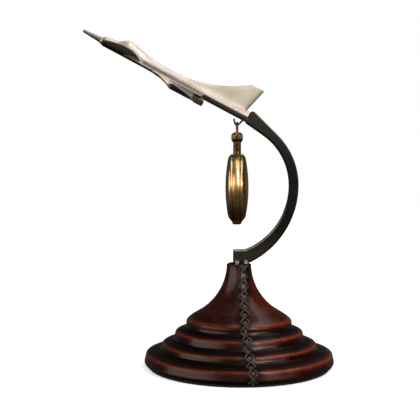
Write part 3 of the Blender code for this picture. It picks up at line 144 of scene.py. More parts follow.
def settled(name, form, material, body, slot, *nodes, at=None, flat=False):
    """A form drawn in millimetres, put in its place as a piece that rides on a body and stands for CAD nodes."""
    if at is not None:
        bmesh.ops.transform(form, matrix=at, verts=form.verts)
    bmesh.ops.remove_doubles(form, verts=form.verts, dist=0.001)
    bmesh.ops.recalc_face_normals(form, faces=form.faces)
    bmesh.ops.scale(form, vec=(0.001, 0.001, 0.001), verts=form.verts)
    mesh = bpy.data.meshes.new(name)
    form.to_mesh(mesh)
    form.free()
    mesh.shade_smooth()
    mesh.set_sharp_from_angle(angle=radians(CREASE))
    mesh.materials.append(material)
    piece = bpy.data.objects.new(name, mesh)
    scene.collection.objects.link(piece)
    if flat:
        piece.modifiers.new("Flat faces", "WEIGHTED_NORMAL").keep_sharp = True
    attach(piece, body)
    if nodes:
        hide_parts(*nodes)
    return piece


# Wool fibres are too fine to show, so they are drawn as tufts of 0.6 mm: a soft grey cloud without a shine.
felt = grained("black wool felt", 0.0006, "0b0b0c", "242426", 0.95, 0.7, 0.0003, shares=(0.3, 0.75), detail=6.0,
               twist=1.5, Sheen_Weight=0.35, Sheen_Roughness=0.5)
form = bmesh.new()
bmesh.ops.create_circle(form, cap_ends=True, segments=160, radius=FELT_RADIUS)
pushed(form, form.faces[:], (0, 0, FELT_THICKNESS))
rims = [edge for edge in form.edges if abs(edge.verts[0].co.z - edge.verts[1].co.z) < 0.1]
rounded(form, rims, FELT_CORNER, 2)
settled("felt_pad", form, felt, "stand", "felt", "base_felt")


# Leather cover: one hide wet-moulded over the stepped wooden base and laced up the front. Its risers lean back.
# Handling has rubbed the tier edges back to red-brown and the top is glazed; the black of its hollows, its bottom and
# its seam is painted shade.

TIERS = ((67.0, 10.4), (54.6, 17.2), (45.2, 25.5), (37.4, 31.9))
HEM_BOTTOM = 1.5
HEM_INNER = 58.0
LEATHER = 1.5
EDGE_ROUND = 1.8
BOTTOM_ROUND = 3.0
TREAD_RISE = 2.6
HOLLOW = 1.5
LEAN = 0.23
CREST_FROM = 12
CREST_TO = 72
BELL_FOOT = Vector((28.4, 39.0))
NECK = Vector((8.7, 73.0))
NECK_ROUND = 2.2
NECK_BORE = 2.8
SEAM_SHIFT = 3.1
SEAM_SLANT = 0.125
LACE_START = 4.0
LACE_PITCH = 7.7
LACE_HALF_WIDTH = 3.0
DRAWN_IN = 0.67
BELL_TO = 36
STEPS_FROM = 38
POINT_SPACING = 0.7
BOTTOM_SHADE = -0.8
HOLLOW_SHADE = -1
BELL_RUB = 0.06
NECK_RUB = 0.2
RUB_SPREAD = 0.85
DENSE_FROM = radians(-94)
DENSE_TURN = radians(50)
DENSE_STEPS = 190
OTHER_STEPS = 130


def arc(centre, radius, start, end, steps):
    """Points of an arc between two angles in degrees."""
    turns = [radians(start + (end - start) * i / steps) for i in range(steps + 1)]
    return [(centre[0] + radius * cos(t), centre[1] + radius * sin(t)) for t in turns]


def eased(first, corner, last, steps):
    """Points of a curve that leaves one point towards a corner and arrives at another."""
    shares = [i / steps for i in range(steps + 1)]
    return [tuple(Vector(first) * (1 - t) ** 2 + Vector(corner) * 2 * t * (1 - t) + Vector(last) * t * t)
            for t in shares]


def toward(start, end, distance):
    """The point at a distance from one point towards another."""
    return tuple(Vector(start) + (Vector(end) - Vector(start)).normalized() * distance)


outline = [((HEM_INNER, HEM_BOTTOM), 0)]
bottom = arc((TIERS[0][0] - BOTTOM_ROUND, HEM_BOTTOM + BOTTOM_ROUND), BOTTOM_ROUND, -90, 0, 8)
outline += [(point, BOTTOM_SHADE) for point in bottom]
for (radius, top), (inner, upper) in zip(TIERS, TIERS[1:]):
    if radius == TIERS[0][0]:
        radius -= LEAN * (top - EDGE_ROUND - HEM_BOTTOM - BOTTOM_ROUND)
    crest = arc((radius - EDGE_ROUND, top - EDGE_ROUND), EDGE_ROUND, CREST_FROM, CREST_TO, 8)
    hollow = (inner + LEAN * (upper - EDGE_ROUND - top - TREAD_RISE), top + TREAD_RISE)
    above = (inner, upper - EDGE_ROUND)
    outline += [(point, 1.15 * exp(-((7.5 * i - 30) / 22) ** 2) - 0.15) for i, point in enumerate(crest)]
    outline += [(point, HOLLOW_SHADE) for point in eased(toward(hollow, crest[-1], HOLLOW), hollow,
                                                       toward(hollow, above, HOLLOW), 6)]
across = BELL_FOOT.x - NECK.x
bell = (across ** 2 + (NECK.y - BELL_FOOT.y) ** 2) / (2 * across)
bell_centre = (NECK.x + bell, NECK.y)
slope = (BELL_FOOT.x - bell_centre[0]) / (bell_centre[1] - BELL_FOOT.y)
rim = (TIERS[3][0], BELL_FOOT.y + slope * (TIERS[3][0] - BELL_FOOT.x))
rolled = eased((TIERS[3][0], TIERS[3][1]), rim, BELL_FOOT, 12)
outline += [(point, 0.78 * exp(-((i - 3.5) / 2.5) ** 2) - 0.1) for i, point in enumerate(rolled)]
foot_turn = atan2(BELL_FOOT.y - bell_centre[1], BELL_FOOT.x - bell_centre[0]) * 180 / pi + 360
outline += [(point, BELL_RUB) for point in arc(bell_centre, bell, foot_turn, 180, 40)[1:-1]]
outline += [(point, NECK_RUB) for point in arc((NECK.x - NECK_ROUND, NECK.y - NECK_ROUND), NECK_ROUND, 0, 90, 5)]

profile = []
for (start, rub_0), (end, rub_1) in zip(outline, outline[1:]):
    count = max(1, round((Vector(end) - Vector(start)).length / POINT_SPACING))
    for i in range(count):
        share = i / count
        profile.append((Vector(start).lerp(Vector(end), share), rub_0 + (rub_1 - rub_0) * share))
profile.append((Vector(outline[-1][0]), outline[-1][1]))
runs = [0.0]
for (a, _), (b, _) in zip(profile[::-1], profile[-2::-1]):
    runs.append(runs[-1] + (b - a).length)
runs.reverse()


def spread(at):
    """How far the hide is rubbed bright (up to 1), or darkened by painted shade in its hollows and at its bottom
    (down to -1), at a run along the profile.
    """
    weights = [exp(-((run - at) / RUB_SPREAD) ** 2) for run in runs]
    return sum(w * wear_and_shade for w, (_, wear_and_shade) in zip(weights, profile)) / sum(weights)


def step_up(at, start, end):
    """An even rise from 0 to 1 between two positions."""
    share = max(0, min(1, (at - start) / (end - start)))
    return share * share * (3 - 2 * share)


def seam_at(radius):
    """Sideways place of the seam's line on a given radius."""
    return SEAM_SHIFT + max(0, radius - TIERS[3][0]) * SEAM_SLANT


form = bmesh.new()
wear_and_shade = form.verts.layers.float.new("wear_and_shade")
lump_wear_and_highlight = form.verts.layers.float.new("lump_wear_and_highlight")
along = form.verts.layers.float.new("along")
dull = form.verts.layers.float.new("dull")
line = []
for (point, _), run in zip(profile, runs):
    corner = form.verts.new((point.x * cos(DENSE_FROM), point.x * sin(DENSE_FROM), point.y))
    corner[wear_and_shade] = spread(run)
    corner[along] = run
    line.append(corner)
inside = [(NECK_BORE, NECK.y), (NECK_BORE, NECK.y - LEATHER), (NECK.x - LEATHER, NECK.y - LEATHER)]
inside += [(r - LEATHER, z - LEATHER) for r, z in arc(bell_centre, bell, 180, foot_turn, 6)[1:]]
for (radius, top), (_, below) in zip(TIERS[:0:-1], TIERS[-2::-1]):
    inside += [(radius - LEATHER, top - LEATHER), (radius - LEATHER, below + TREAD_RISE - LEATHER)]
inside += [(TIERS[0][0] - LEATHER, TIERS[0][1] - LEATHER), (TIERS[0][0] - LEATHER, HEM_BOTTOM + LEATHER)]
inside += [(HEM_INNER, HEM_BOTTOM + LEATHER)]
for r, z in inside:
    corner = form.verts.new((r * cos(DENSE_FROM), r * sin(DENSE_FROM), z))
    corner[along] = -1
    line.append(corner)
edges = [form.edges.new((a, b)) for a, b in zip(line, line[1:] + line[:1])]
front = bmesh.ops.spin(form, geom=line + edges, axis=(0, 0, 1), angle=DENSE_TURN, steps=DENSE_STEPS)["geom_last"]
bmesh.ops.spin(form, geom=front, axis=(0, 0, 1), angle=tau - DENSE_TURN, steps=OTHER_STEPS)
bmesh.ops.remove_doubles(form, verts=form.verts, dist=0.001)
bmesh.ops.recalc_face_normals(form, faces=form.faces)
form.normal_update()
lifts = []
for corner in form.verts:
    run = corner[along]
    lift = 0.0
    if run >= 0:
        radius = hypot(corner.co.x, corner.co.y)
        turn = atan2(corner.co.x, -corner.co.y)
        side = radius * (turn - asin(min(0.95, seam_at(radius) / radius)))
        # The hide waves broadly and finely, and its colour is lighter towards the right and darker towards the left,
        # most of all just left of the front.
        lift = 0.10 * noise.noise(corner.co / 9) + 0.04 * noise.noise(corner.co / 2.5) - 0.08
        corner[wear_and_shade] += 0.16 * sin(turn) - 0.22 * exp(-((turn + 0.3) / 0.4) ** 2)
        if abs(side) < 14 and corner.co.y < 0 and run < 140:
            # A lump at each crossing, a hole at each end of it, a groove along the seam, and puckered edges.
            step = (run - LACE_START) / LACE_PITCH
            beat = cos(tau * step)
            off = (step - round(step)) * LACE_PITCH
            lump = exp(-(side / 0.7) ** 2 - (off / 1.1) ** 2) if run > LACE_START - 1 else 0
            hole = exp(-((abs(side) - LACE_HALF_WIDTH) / 0.6) ** 2 - (off / 0.7) ** 2)
            groove = exp(-(side / 0.5) ** 2)
            pucker = exp(-((abs(side) - 1.8) / 1.2) ** 2)
            lift += -0.45 * groove + 0.55 * lump - 0.6 * hole + pucker * (0.25 - 0.12 * beat)
            lift -= DRAWN_IN * max(0, radius - TIERS[0][0] + LEATHER) * exp(-(side / 6) ** 2)
            # Painted shade darkens the hide along the lacing, and each lump gets a painted highlight that is partly
            # tan wear.
            corner[wear_and_shade] = corner[wear_and_shade] * (1 - 0.6 * exp(-(side / 5) ** 2)) - 0.75 * exp(-(side / 4.2) ** 2)
            corner[lump_wear_and_highlight] = lump
        # The wax is dull on the treads, on the front of the steps and at the right of the bell.
        on_steps = step_up(radius, BELL_TO, STEPS_FROM)
        corner[dull] = max(step_up(corner.normal.z, 0.5, 0.9) * step_up(-corner[wear_and_shade], -0.3, 0.5),
                           0.8 * exp(-((turn + 0.14) / 0.25) ** 2) * on_steps,
                           0.75 * step_up(turn, 0.3, 0.7) * (1 - on_steps))
    lifts.append(corner.normal * lift)
for corner, lift in zip(form.verts, lifts):
    corner.co += lift

# Tanned hide under wax: red-brown worn crests, hollows black-red with painted shade, and a warm gloss. Real pores are
# too fine to show, so they are drawn at 0.8 mm, and flecks of grime at 1.1 mm.
hide, tree, shader = finish("waxed mahogany leather", IOR=1.42, Specular_Tint=linear("ec9f82"), Coat_Roughness=0.18)
place = node(tree, "TexCoord", out="Object")
# Its colour follows the wear of the crests and the painted shade of the hollows, the bottom and the seam.
wear_and_painted_light = node(tree, "Attribute", out="Fac", attribute_name="wear_and_shade")
spots = node(tree, "Mapping", {"Vector": place, "Scale": (0.007, 0.007, 0.005)}, vector_type="TEXTURE")
clouds = node(tree, "TexNoise", {"Vector": spots, "Scale": 1.0, "Detail": 5.0, "Roughness": 0.6})
specks = node(tree, "Mapping", {"Vector": place, "Scale": (0.0011, 0.0011, 0.0011)}, vector_type="TEXTURE")
flecks = node(tree, "TexNoise", {"Vector": specks, "Scale": 1.0, "Detail": 4.0, "Roughness": 0.65})
mottle = node(tree, "Math", {0: clouds, 1: 0.9, 2: -0.45}, operation="MULTIPLY_ADD")
grime = node(tree, "Math", {0: flecks, 1: 0.9, 2: -0.45}, operation="MULTIPLY_ADD")
blotch = node(tree, "Math", {0: mottle, 1: grime}, operation="ADD")
tone = node(tree, "Math", {0: wear_and_painted_light, 1: blotch}, operation="ADD")
tone = node(tree, "MapRange", {"Value": tone, "From Min": -1.0, "From Max": 1.3})
colour = node(tree, "ValToRGB", {"Fac": tone},
              ((0.0, "080303"), (1.0, "a9431b"), (0.30, "1c0906"), (0.46, "3a1209"), (0.68, "6a2610")))
# Painted highlight, partly tan wear, on the lump at each crossing of the lacing.
lump_glint_and_wear = node(tree, "Attribute", out="Fac", attribute_name="lump_wear_and_highlight")
node(tree, "Mix", {"Factor": lump_glint_and_wear, 6: colour, 7: linear("8f5f4c")}, to=shader["Base Color"], data_type="RGBA")
pores = node(tree, "Mapping", {"Vector": place, "Scale": (0.0008, 0.0008, 0.0008)}, vector_type="TEXTURE")
grain = node(tree, "TexVoronoi", {"Vector": pores, "Scale": 1.0}, feature="SMOOTH_F1")
relief = node(tree, "Math", {0: grain, 1: flecks}, operation="MULTIPLY")
node(tree, "Bump", {"Height": relief, "Strength": 0.35, "Distance": 0.0003}, to=shader["Normal"])
node(tree, "MapRange", {"Value": clouds, "From Min": 0.3, "From Max": 0.7, "To Min": 0.24, "To Max": 0.38},
     to=shader["Roughness"])
waxed = node(tree, "Attribute", out="Fac", attribute_name="dull")
node(tree, "MapRange", {"Value": waxed, "To Min": 0.5, "To Max": 0.12}, to=shader["Specular IOR Level"])
node(tree, "MapRange", {"Value": waxed, "To Min": 0.38, "To Max": 0.03}, to=shader["Coat Weight"])
settled("leather_cover", form, hide, "stand", "leather", "base_leather")


# Lacing: two waxed black leather thongs that cross over the seam and dive into punched holes at each side.
# Their edges are rounded by wear, and wax gives them a soft sheen.


def swept(form, stations):
    """A tube: a circle is extruded from station to station and each ring laid on that station's points."""
    place = form.verts.layers.int.get("place") or form.verts.layers.int.new("place")
    ring = bmesh.ops.create_circle(form, segments=len(stations[0]), radius=1)["verts"]
    edges = list(dict.fromkeys(edge for corner in ring for edge in corner.link_edges))
    for i, corner in enumerate(ring):
        corner[place] = i
        corner.co = stations[0][i]
    first = edges
    for station in stations[1:]:
        grown = bmesh.ops.extrude_edge_only(form, edges=edges)["geom"]
        ring = {part for part in grown if isinstance(part, bmesh.types.BMVert)}
        edges = [part for part in grown if isinstance(part, bmesh.types.BMEdge) and ring.issuperset(part.verts)]
        for corner in ring:
            corner.co = station[corner[place]]
    bmesh.ops.edgeloop_fill(form, edges=first)
    bmesh.ops.edgeloop_fill(form, edges=edges)


def tube(points, half_width, half_height, sides, outward=None):
    """Stations of a bar of oval section along points; outward gives each point's way up."""
    stations = []
    up = None
    for i, point in enumerate(points):
        ahead = (points[min(i + 1, len(points) - 1)] - points[max(i - 1, 0)]).normalized()
        wanted = outward[i] if outward else (up or ahead.orthogonal())
        up = (wanted - ahead * wanted.dot(ahead)).normalized()
        sideways = ahead.cross(up)
        turns = [tau * k / sides for k in range(sides)]
        stations.append([point + sideways * half_width * cos(t) + up * half_height * sin(t) for t in turns])
    return stations


def over_leather(run, side, lift):
    """A point over the seam at a run from the neck's top edge, and the way out from the hide there."""
    near = [(point, at) for (point, _), at in zip(profile, runs) if abs(at - run) < 2.4]
    weights = [1 - abs(at - run) / 2.5 for _, at in near]
    middle = sum((point * w for (point, _), w in zip(near, weights)), Vector((0, 0))) / sum(weights)
    ahead = near[-1][0] - near[0][0]
    out = Vector((ahead.y, -ahead.x)).normalized()
    reach = max((point - middle).dot(out) for point, at in near if abs(at - run) < 1.4)
    spot = middle + out * (max(reach, 0) + lift - DRAWN_IN * max(0, middle.x - TIERS[0][0] + LEATHER))
    x = seam_at(middle.x) + side
    y = -sqrt(spot.x ** 2 - x * x)
    return Vector((x, y, spot.y)), Vector((x / spot.x * out.x, y / spot.x * out.x, out.y)).normalized()


LACE_HALF_THICKNESS = 0.45
LACE_HALF_BREADTH = 0.72
LACE_STEPS = 14
LACE_TURN = 0.92
LACE_DIVE = 0.7
UNLACED = 7.0
HEM_TURN = BOTTOM_ROUND * 1.6
lace_count = round((runs[0] - UNLACED - HEM_TURN - LACE_START) / LACE_PITCH) * LACE_STEPS
# Waxed calf: near black with grey scuffs and a soft sheen. Its creases are drawn at 0.9 mm, so that they show.
thong = grained("waxed black thong", 0.0009, "0d0b0a", "3a3431", (0.25, 0.55), 0.4, 0.0002, shares=(0.35, 0.72),
                across=(0, 1), detail=5.0, IOR=1.45, Coat_Weight=0.12, Coat_Roughness=0.25)
for name, side, over in (("lace_under", 1, 0), ("lace_over", -1, 1)):
    points, ways = [], []
    for i in range(lace_count + 1):
        sway = asin(LACE_TURN * cos(pi * i / LACE_STEPS)) / asin(LACE_TURN)
        rise = over * 2 * LACE_HALF_THICKNESS * (1 - abs(sway))
        dive = max(0, abs(sway) - 0.8) / 0.2
        lift = LACE_HALF_THICKNESS + rise - LACE_DIVE * dive ** 2
        run = LACE_START + i * LACE_PITCH / LACE_STEPS
        point, way = over_leather(run, side * sway * LACE_HALF_WIDTH, lift)
        points.append(point)
        ways.append(way)
    form = bmesh.new()
    swept(form, tube(points, LACE_HALF_BREADTH, LACE_HALF_THICKNESS, 10, ways))
    settled(name + "_thong", form, thong, "stand", "lace", name)


# Arm: a crescent cut from flat bar and blackened, with a foot that is bolted down on the neck.
# The finish is a dark oiled gunmetal, worn to bare metal on the lower edges that face up, where a painted highlight
# is added as well.

FOOT_BOTTOM = 73.3
FOOT_TOP = 82.3
FOOT_LEFT = -4.2
FOOT_RIGHT = 8.0
FOOT_TOP_END = 4.4
ARM_MIDDLE = 127.6
ARM_INNER_REACH = 35.3
ARM_OUTER_REACH = 41.8
ARM_DEPTH = 8.0
JET_PITCH = radians(27.97)
TAIL = Vector((5.5, 175.3))
GAP = 0.3
OUTER_BEND = 49.5
OUTER_TURN = 45
INNER_BEND = 43.1
INNER_TURN = 55
TIP_ROUND = 3.4
CHAMFER = 1.1
WEAR_AND_HIGHLIGHT_TO = 108
DARK_FROM = 130
jet_along = Vector((cos(JET_PITCH), -sin(JET_PITCH)))


def arm_edge(reach, upper, upper_turn, landing, level):
    """One long edge of the arm: an arc from its landing on the foot, an upper arc, and a straight to the tail."""
    run, down = reach - landing, ARM_MIDDLE - level
    lower = (run * run + down * down) / (2 * run)
    below = arc((reach - lower, ARM_MIDDLE), lower, -atan2(down, lower - run) * 180 / pi, 0, 36)
    above = arc((reach - upper, ARM_MIDDLE), upper, 0, upper_turn, 32)[1:]
    heading = Vector((-sin(radians(upper_turn)), cos(radians(upper_turn))))
    last = Vector(above[-1])
    tip = last + heading * (GAP - (last - TAIL).dot(jet_along)) / heading.dot(jet_along)
    return below + above + [tuple(tip)]


outer = arm_edge(ARM_OUTER_REACH, OUTER_BEND, OUTER_TURN, FOOT_RIGHT, FOOT_BOTTOM)
inner = arm_edge(ARM_INNER_REACH, INNER_BEND, INNER_TURN, FOOT_TOP_END, FOOT_TOP)
arm_outline = [(FOOT_LEFT, FOOT_BOTTOM)] + outer + inner[::-1] + [(FOOT_LEFT, FOOT_TOP)]
form = bmesh.new()
cheek = form.faces.new([form.verts.new((x, -ARM_DEPTH / 2, z)) for x, z in arm_outline])
pushed(form, [cheek], (0, ARM_DEPTH, 0))
bmesh.ops.recalc_face_normals(form, faces=form.faces)
tip = max((corner.co for corner in form.verts), key=lambda spot: spot.z)
ends = [edge for edge in form.edges if all((Vector((c.co.x, c.co.z)) - tip.xz).length < 0.1 for c in edge.verts)]
rounded(form, ends, TIP_ROUND, 6)
sharp = [edge for edge in form.edges if edge.calc_face_angle(0) > radians(40)]
rounded(form, sharp, CHAMFER, 3)
form.normal_update()
# Lower edges that face up: worn bare, with a painted highlight.
bare = form.verts.layers.float.new("bare")
for corner in form.verts:
    if abs(corner.co.y) < ARM_DEPTH / 2 - 0.02:
        corner[bare] = step_up(corner.normal.z, 0.2, 0.5) * (1 - step_up(corner.co.z, WEAR_AND_HIGHLIGHT_TO, DARK_FROM))

# Oil-blacked steel: brown-black and half matt, with a painted highlight on its upper end and pale, worn and lit
# up-facing edges.
# Its pitting is drawn at 0.6 mm, coarser than the real one, so that it shows.
gunmetal, tree, shader = finish("oiled gunmetal", Metallic=0.85, Coat_Weight=0.10, Coat_Roughness=0.3)
place = node(tree, "TexCoord", out="Object")
broad = node(tree, "Mapping", {"Vector": place, "Scale": (0.012, 0.012, 0.012)}, vector_type="TEXTURE")
cloud = node(tree, "TexNoise", {"Vector": broad, "Scale": 1.0, "Detail": 6.0, "Roughness": 0.6})
grit = node(tree, "Mapping", {"Vector": place, "Scale": (0.0006, 0.0006, 0.0006)}, vector_type="TEXTURE")
speck = node(tree, "TexNoise", {"Vector": grit, "Scale": 1.0, "Detail": 3.0})
wear_and_painted_light = node(tree, "Attribute", out="Fac", attribute_name="bare")
patchy = node(tree, "MapRange", {"Value": cloud, "From Min": 0.25, "From Max": 0.52})
wear_and_painted_light = node(tree, "Math", {0: wear_and_painted_light, 1: patchy}, operation="MULTIPLY")
shade = node(tree, "ValToRGB", {"Fac": cloud}, ((0.30, "0c0a08"), (0.75, "191510")))
height = node(tree, "SeparateXYZ", {0: place}, out="Z")
# Painted highlight: lighter towards the upper end; it also turns greyer towards the foot.
pale_ends = node(tree, "MapRange", {"Value": height, "From Min": 0.140, "From Max": 0.178, "To Max": 0.22})
foot = node(tree, "MapRange", {"Value": height, "From Min": 0.096, "From Max": 0.080, "To Max": 0.22})
pale_ends = node(tree, "Math", {0: pale_ends, 1: foot}, operation="MAXIMUM")
shade = node(tree, "Mix", {"Factor": pale_ends, 6: shade, 7: linear("6a5f52")}, data_type="RGBA")
node(tree, "Mix", {"Factor": wear_and_painted_light, 6: shade, 7: linear("c6bdab")}, to=shader["Base Color"], data_type="RGBA")
node(tree, "MapRange", {"Value": speck, "To Min": 0.34, "To Max": 0.52}, to=shader["Roughness"])
node(tree, "Bump", {"Height": speck, "Strength": 0.12, "Distance": 0.0002}, to=shader["Normal"])
settled("arm_crescent", form, gunmetal, "stand", "gunmetal", "arm", flat=True)


# Fuselage: a slim cast body with a humped canopy, filed and brushed lengthwise.
# It is warm grey nickel, bright on top, with painted shade under the nose, along its lower side and at the wings.

JET_LENGTH = 130.0
BODY_START = 15.8
BODY_BOTTOM = 3.3
JET_CENTRE = 0.3
SPINE_TOP = 4.6
WING_END = 96.2
TOP_LINE = ((15.8, 3.8), (25.0, 4.86), (30.8, 8.3), (33.0, 9.0), (40.5, 7.6), (50.0, 5.6), (60.2, 4.6),
            (127.6, 4.6), (130.0, 4.6))
SIDE_LINE = ((15.8, 3.6), (50.0, 3.6), (96.2, 3.6), (130.0, 2.7))
SHADE_LINE = ((15.0, 0.4), (18.0, 1.2), (22.0, 2.4), (27.0, 3.2), (32.3, 3.9), (36.0, 3.6), (40.1, 2.7),
              (43.0, 1.3), (45.4, -0.4), (47.5, -4.0), (52.0, -9.0))
jet_nose = Vector((TAIL.x - jet_along.x * JET_LENGTH, 0, TAIL.y - jet_along.y * JET_LENGTH))
to_jet = Matrix.Translation(jet_nose) @ Matrix.Rotation(JET_PITCH, 4, "Y")


def smooth(curve, at):
    """A value on a smooth line through (position, value) points."""
    last = len(curve) - 2
    i = next((k for k in range(last) if at <= curve[k + 1][0]), last)
    (u0, v0), (u1, v1) = curve[i], curve[i + 1]
    before, after = curve[max(i - 1, 0)], curve[min(i + 2, len(curve) - 1)]
    slope_0 = (v1 - before[1]) / (u1 - before[0])
    slope_1 = (after[1] - v0) / (after[0] - u0)
    t = (at - u0) / (u1 - u0)
    lean = (t - 2 * t * t + t ** 3) * slope_0 + (t ** 3 - t * t) * slope_1
    return v0 + (v1 - v0) * t * t * (3 - 2 * t) + lean * (u1 - u0)


def body_section(u):
    """Height above and below the axis, and half width, of the fuselage at a station."""
    share = min(1, max(0, u - BODY_START))
    round_off = 0.84 + 0.16 * sqrt(1 - (1 - share) ** 2)
    return (smooth(TOP_LINE, u) * round_off - JET_CENTRE, BODY_BOTTOM * round_off + JET_CENTRE,
            smooth(SIDE_LINE, u) * round_off)


def body_half_width(u, v):
    """Half width of the fuselage at a station and a height."""
    top, below, half = body_section(u)
    return half * sqrt(max(0, 1 - ((v - JET_CENTRE) / (top if v > JET_CENTRE else below)) ** 2))


BODY_SIDES = 56
BODY_STATIONS = 150
BELLY_SHADE = 0.74
WING_EDGE_SHADE = 0.85
stations = []
for i in range(BODY_STATIONS + 1):
    share = i / BODY_STATIONS
    u = BODY_START + (JET_LENGTH + GAP - 0.04 - BODY_START) * (share if share > 0.05 else share * share / 0.05)
    top, below, half = body_section(u)
    lean = 0.42 * step_up(u, 41, 52)
    ring = []
    for k in range(BODY_SIDES):
        turn = tau * k / BODY_SIDES
        rise = max(0, sin(turn))
        width = half * (1 - lean * rise ** 1.2 + 0.10 * step_up(u, 41, 50) * (1 - rise))
        ring.append(Vector((u, width * cos(turn), JET_CENTRE + (top if rise else below) * sin(turn))))
    stations.append(ring)
form = bmesh.new()
swept(form, stations)


def darkened(form, edge=False):
    """Marks painted shade: under a line that rises from the nose and falls behind the canopy, along the belly, and on
    wings at edge and root.
    """
    painted_shade = form.verts.layers.float.new("painted_shade")
    spot = form.verts.layers.int["place"]
    for corner in form.verts:
        u, v = corner.co.x, corner.co.z
        limit = smooth(SHADE_LINE, min(u, 51.9))
        corner[painted_shade] = 1 - step_up(v, limit - 0.5, limit + 0.35) if u < 52 else 0
        corner[painted_shade] = max(corner[painted_shade], BELLY_SHADE * step_up(-v, -3.1, 0.4) * step_up(u, 44, 50))
        if edge and abs(corner.co.y) > wing_reach(u) - 0.1:
            corner[painted_shade] = WING_EDGE_SHADE * (1 - step_up(u, 42, 50))
        if edge and corner[spot] < 5:
            corner[painted_shade] = max(corner[painted_shade], 0.8 if corner[spot] < 4 else 0.35)


darkened(form)

# Cast nickel silver, brushed along the jet: a warm grey metal with long soft streaks, brown-black where shade is
# painted.
# Brush strokes are too fine to show, so they are drawn 1.1 mm wide.
nickel, tree, shader = finish("brushed warm nickel", Metallic=1.0)
place = node(tree, "TexCoord", out="Object")
jet_laid = {"Location": jet_nose * 0.001, "Rotation": (0, JET_PITCH, 0)}
drawn = node(tree, "Mapping", {"Vector": place, "Scale": (0.03, 0.0011, 0.0011), **jet_laid}, vector_type="TEXTURE")
strokes = node(tree, "TexNoise", {"Vector": drawn, "Scale": 1.0, "Detail": 2.0})
broad = node(tree, "Mapping", {"Vector": place, "Scale": (0.016, 0.016, 0.016)}, vector_type="TEXTURE")
cloud = node(tree, "TexNoise", {"Vector": broad, "Scale": 1.0, "Detail": 1.0})
tone = node(tree, "Mix", {"Factor": 0.72, 2: strokes, 3: cloud})
shade = node(tree, "ValToRGB", {"Fac": tone}, ((0.30, "b4a597"), (0.70, "ded3c8")))
painted_dark = node(tree, "Attribute", out="Fac", attribute_name="painted_shade")
painted_dark = node(tree, "MapRange", {"Value": painted_dark, "To Max": 0.975})
node(tree, "Mix", {"Factor": painted_dark, 6: shade, 7: linear("281f18")}, to=shader["Base Color"], data_type="RGBA")
node(tree, "MapRange", {"Value": strokes, "From Min": 0.3, "From Max": 0.7, "To Min": 0.39, "To Max": 0.44},
     to=shader["Roughness"])
settled("jet_fuselage", form, nickel, "stand", "nickel", "fuselage", at=to_jet)


# Nose cone: a turned probe with a narrow collar, pressed into the front of the fuselage.
# It is the same nickel, turned smooth.

COLLAR_FROM = 14.1
COLLAR_SHARE = 0.4


def turned(form, outline, axis, steps, closed=False):
    """Spins an outline of (radius, height) points round the X, Y or Z axis, as on a lathe."""
    up = Vector((axis == "X", axis == "Y", axis == "Z"))
    sideways = Vector((axis != "X", axis == "X", 0))
    line = [form.verts.new(sideways * radius + up * height) for radius, height in outline]
    edges = [form.edges.new(pair) for pair in zip(line, line[1:] + line[:1] if closed else line[1:])]
    bmesh.ops.spin(form, geom=line + edges, axis=up, angle=tau, steps=steps, use_merge=True)


nose_outline = [(0, 0)] + arc((0.56, 0.6), 0.6, -90, 0, 5)
nose_outline += [(2.1, 13.9), (2.25, 14.2), (2.6, 14.2), (2.7, 14.35), (2.7, 15.4), (2.6, 15.5), (1.1, 15.5),
                 (1.1, 19.5), (0, 19.5)]
form = bmesh.new()
turned(form, nose_outline, "X", 64)
painted_shade = form.verts.layers.float.new("painted_shade")
# Painted shade on the lower side and, lighter, along the top; less of it on the collar.
for corner in form.verts:
    rise = corner.co.z / max(0.3, hypot(corner.co.y, corner.co.z))
    corner[painted_shade] = 0.9 * step_up(-rise, -0.45, 0.05) + 0.45 * step_up(rise, 0.85, 1.0)
    if corner.co.x > COLLAR_FROM:
        corner[painted_shade] *= COLLAR_SHARE
settled("jet_nose_cone", form, nickel, "stand", "nickel", "nose_cone", at=to_jet)


# Tail fin: a cast blade that grows out of the spine in a wide sweep, filed flat and brushed.
# Its root is faired down on to the fuselage.

FIN_START = 69.0
FIN_ROOT_END = 127.6
FIN_TIP_END = 132.2
FIN_TIP_CHORD = 10.0
FIN_HEIGHT = 21.6
FIN_ROOT_RINGS = 4
FIN_RINGS = 28
FIN_SHADE = 0.75


def retoned(material, name, *codes):
    """A copy of a material with other colours on its ramp."""
    other = material.copy()
    other.name = name
    steps = next(part for part in other.node_tree.nodes if part.type == "VALTORGB").color_ramp.elements
    for step, code in zip(steps, codes):
        step.color = linear(code)
    return other


form = bmesh.new()
stations = []
for i in range(FIN_ROOT_RINGS + FIN_RINGS + 1):
    share = max(0, (i - FIN_ROOT_RINGS) / FIN_RINGS)
    below = 0.45 * max(0, FIN_ROOT_RINGS - i)
    v = SPINE_TOP - 0.25 + (FIN_HEIGHT + GAP + 0.25 - SPINE_TOP) * share - below
    front = FIN_START + (FIN_TIP_END - FIN_TIP_CHORD - FIN_START) * share ** 0.48
    back = FIN_ROOT_END + (FIN_TIP_END - FIN_ROOT_END) * share
    half = 0.65 + 1.1 * exp((2.55 - v) / 1.6)
    chord = back - front
    near = []
    for t in (0.008, 0.03, 0.07, 0.13, 0.22, 0.35, 0.5, 0.65, 0.8, 0.9, 0.96, 0.99):
        blunt = min(1, sqrt(t * chord / 4.5)) * min(1, 0.55 + (1 - t) * chord / 3.0)
        near.append(Vector((front + chord * t, half * blunt, v)))
    far = [Vector((p.x, -p.y, p.z)) for p in near[::-1]]
    stations.append([Vector((front, 0, v))] + near + [Vector((back, 0, v))] + far)
swept(form, stations)
# Painted shade darkens the fin towards its trailing edge.
painted_shade = form.verts.layers.float.new("painted_shade")
for corner in form.verts:
    behind = FIN_ROOT_END + 0.27 * (corner.co.z - SPINE_TOP) - corner.co.x
    corner[painted_shade] = FIN_SHADE * step_up(-behind, -5.0, 0.0) ** 2
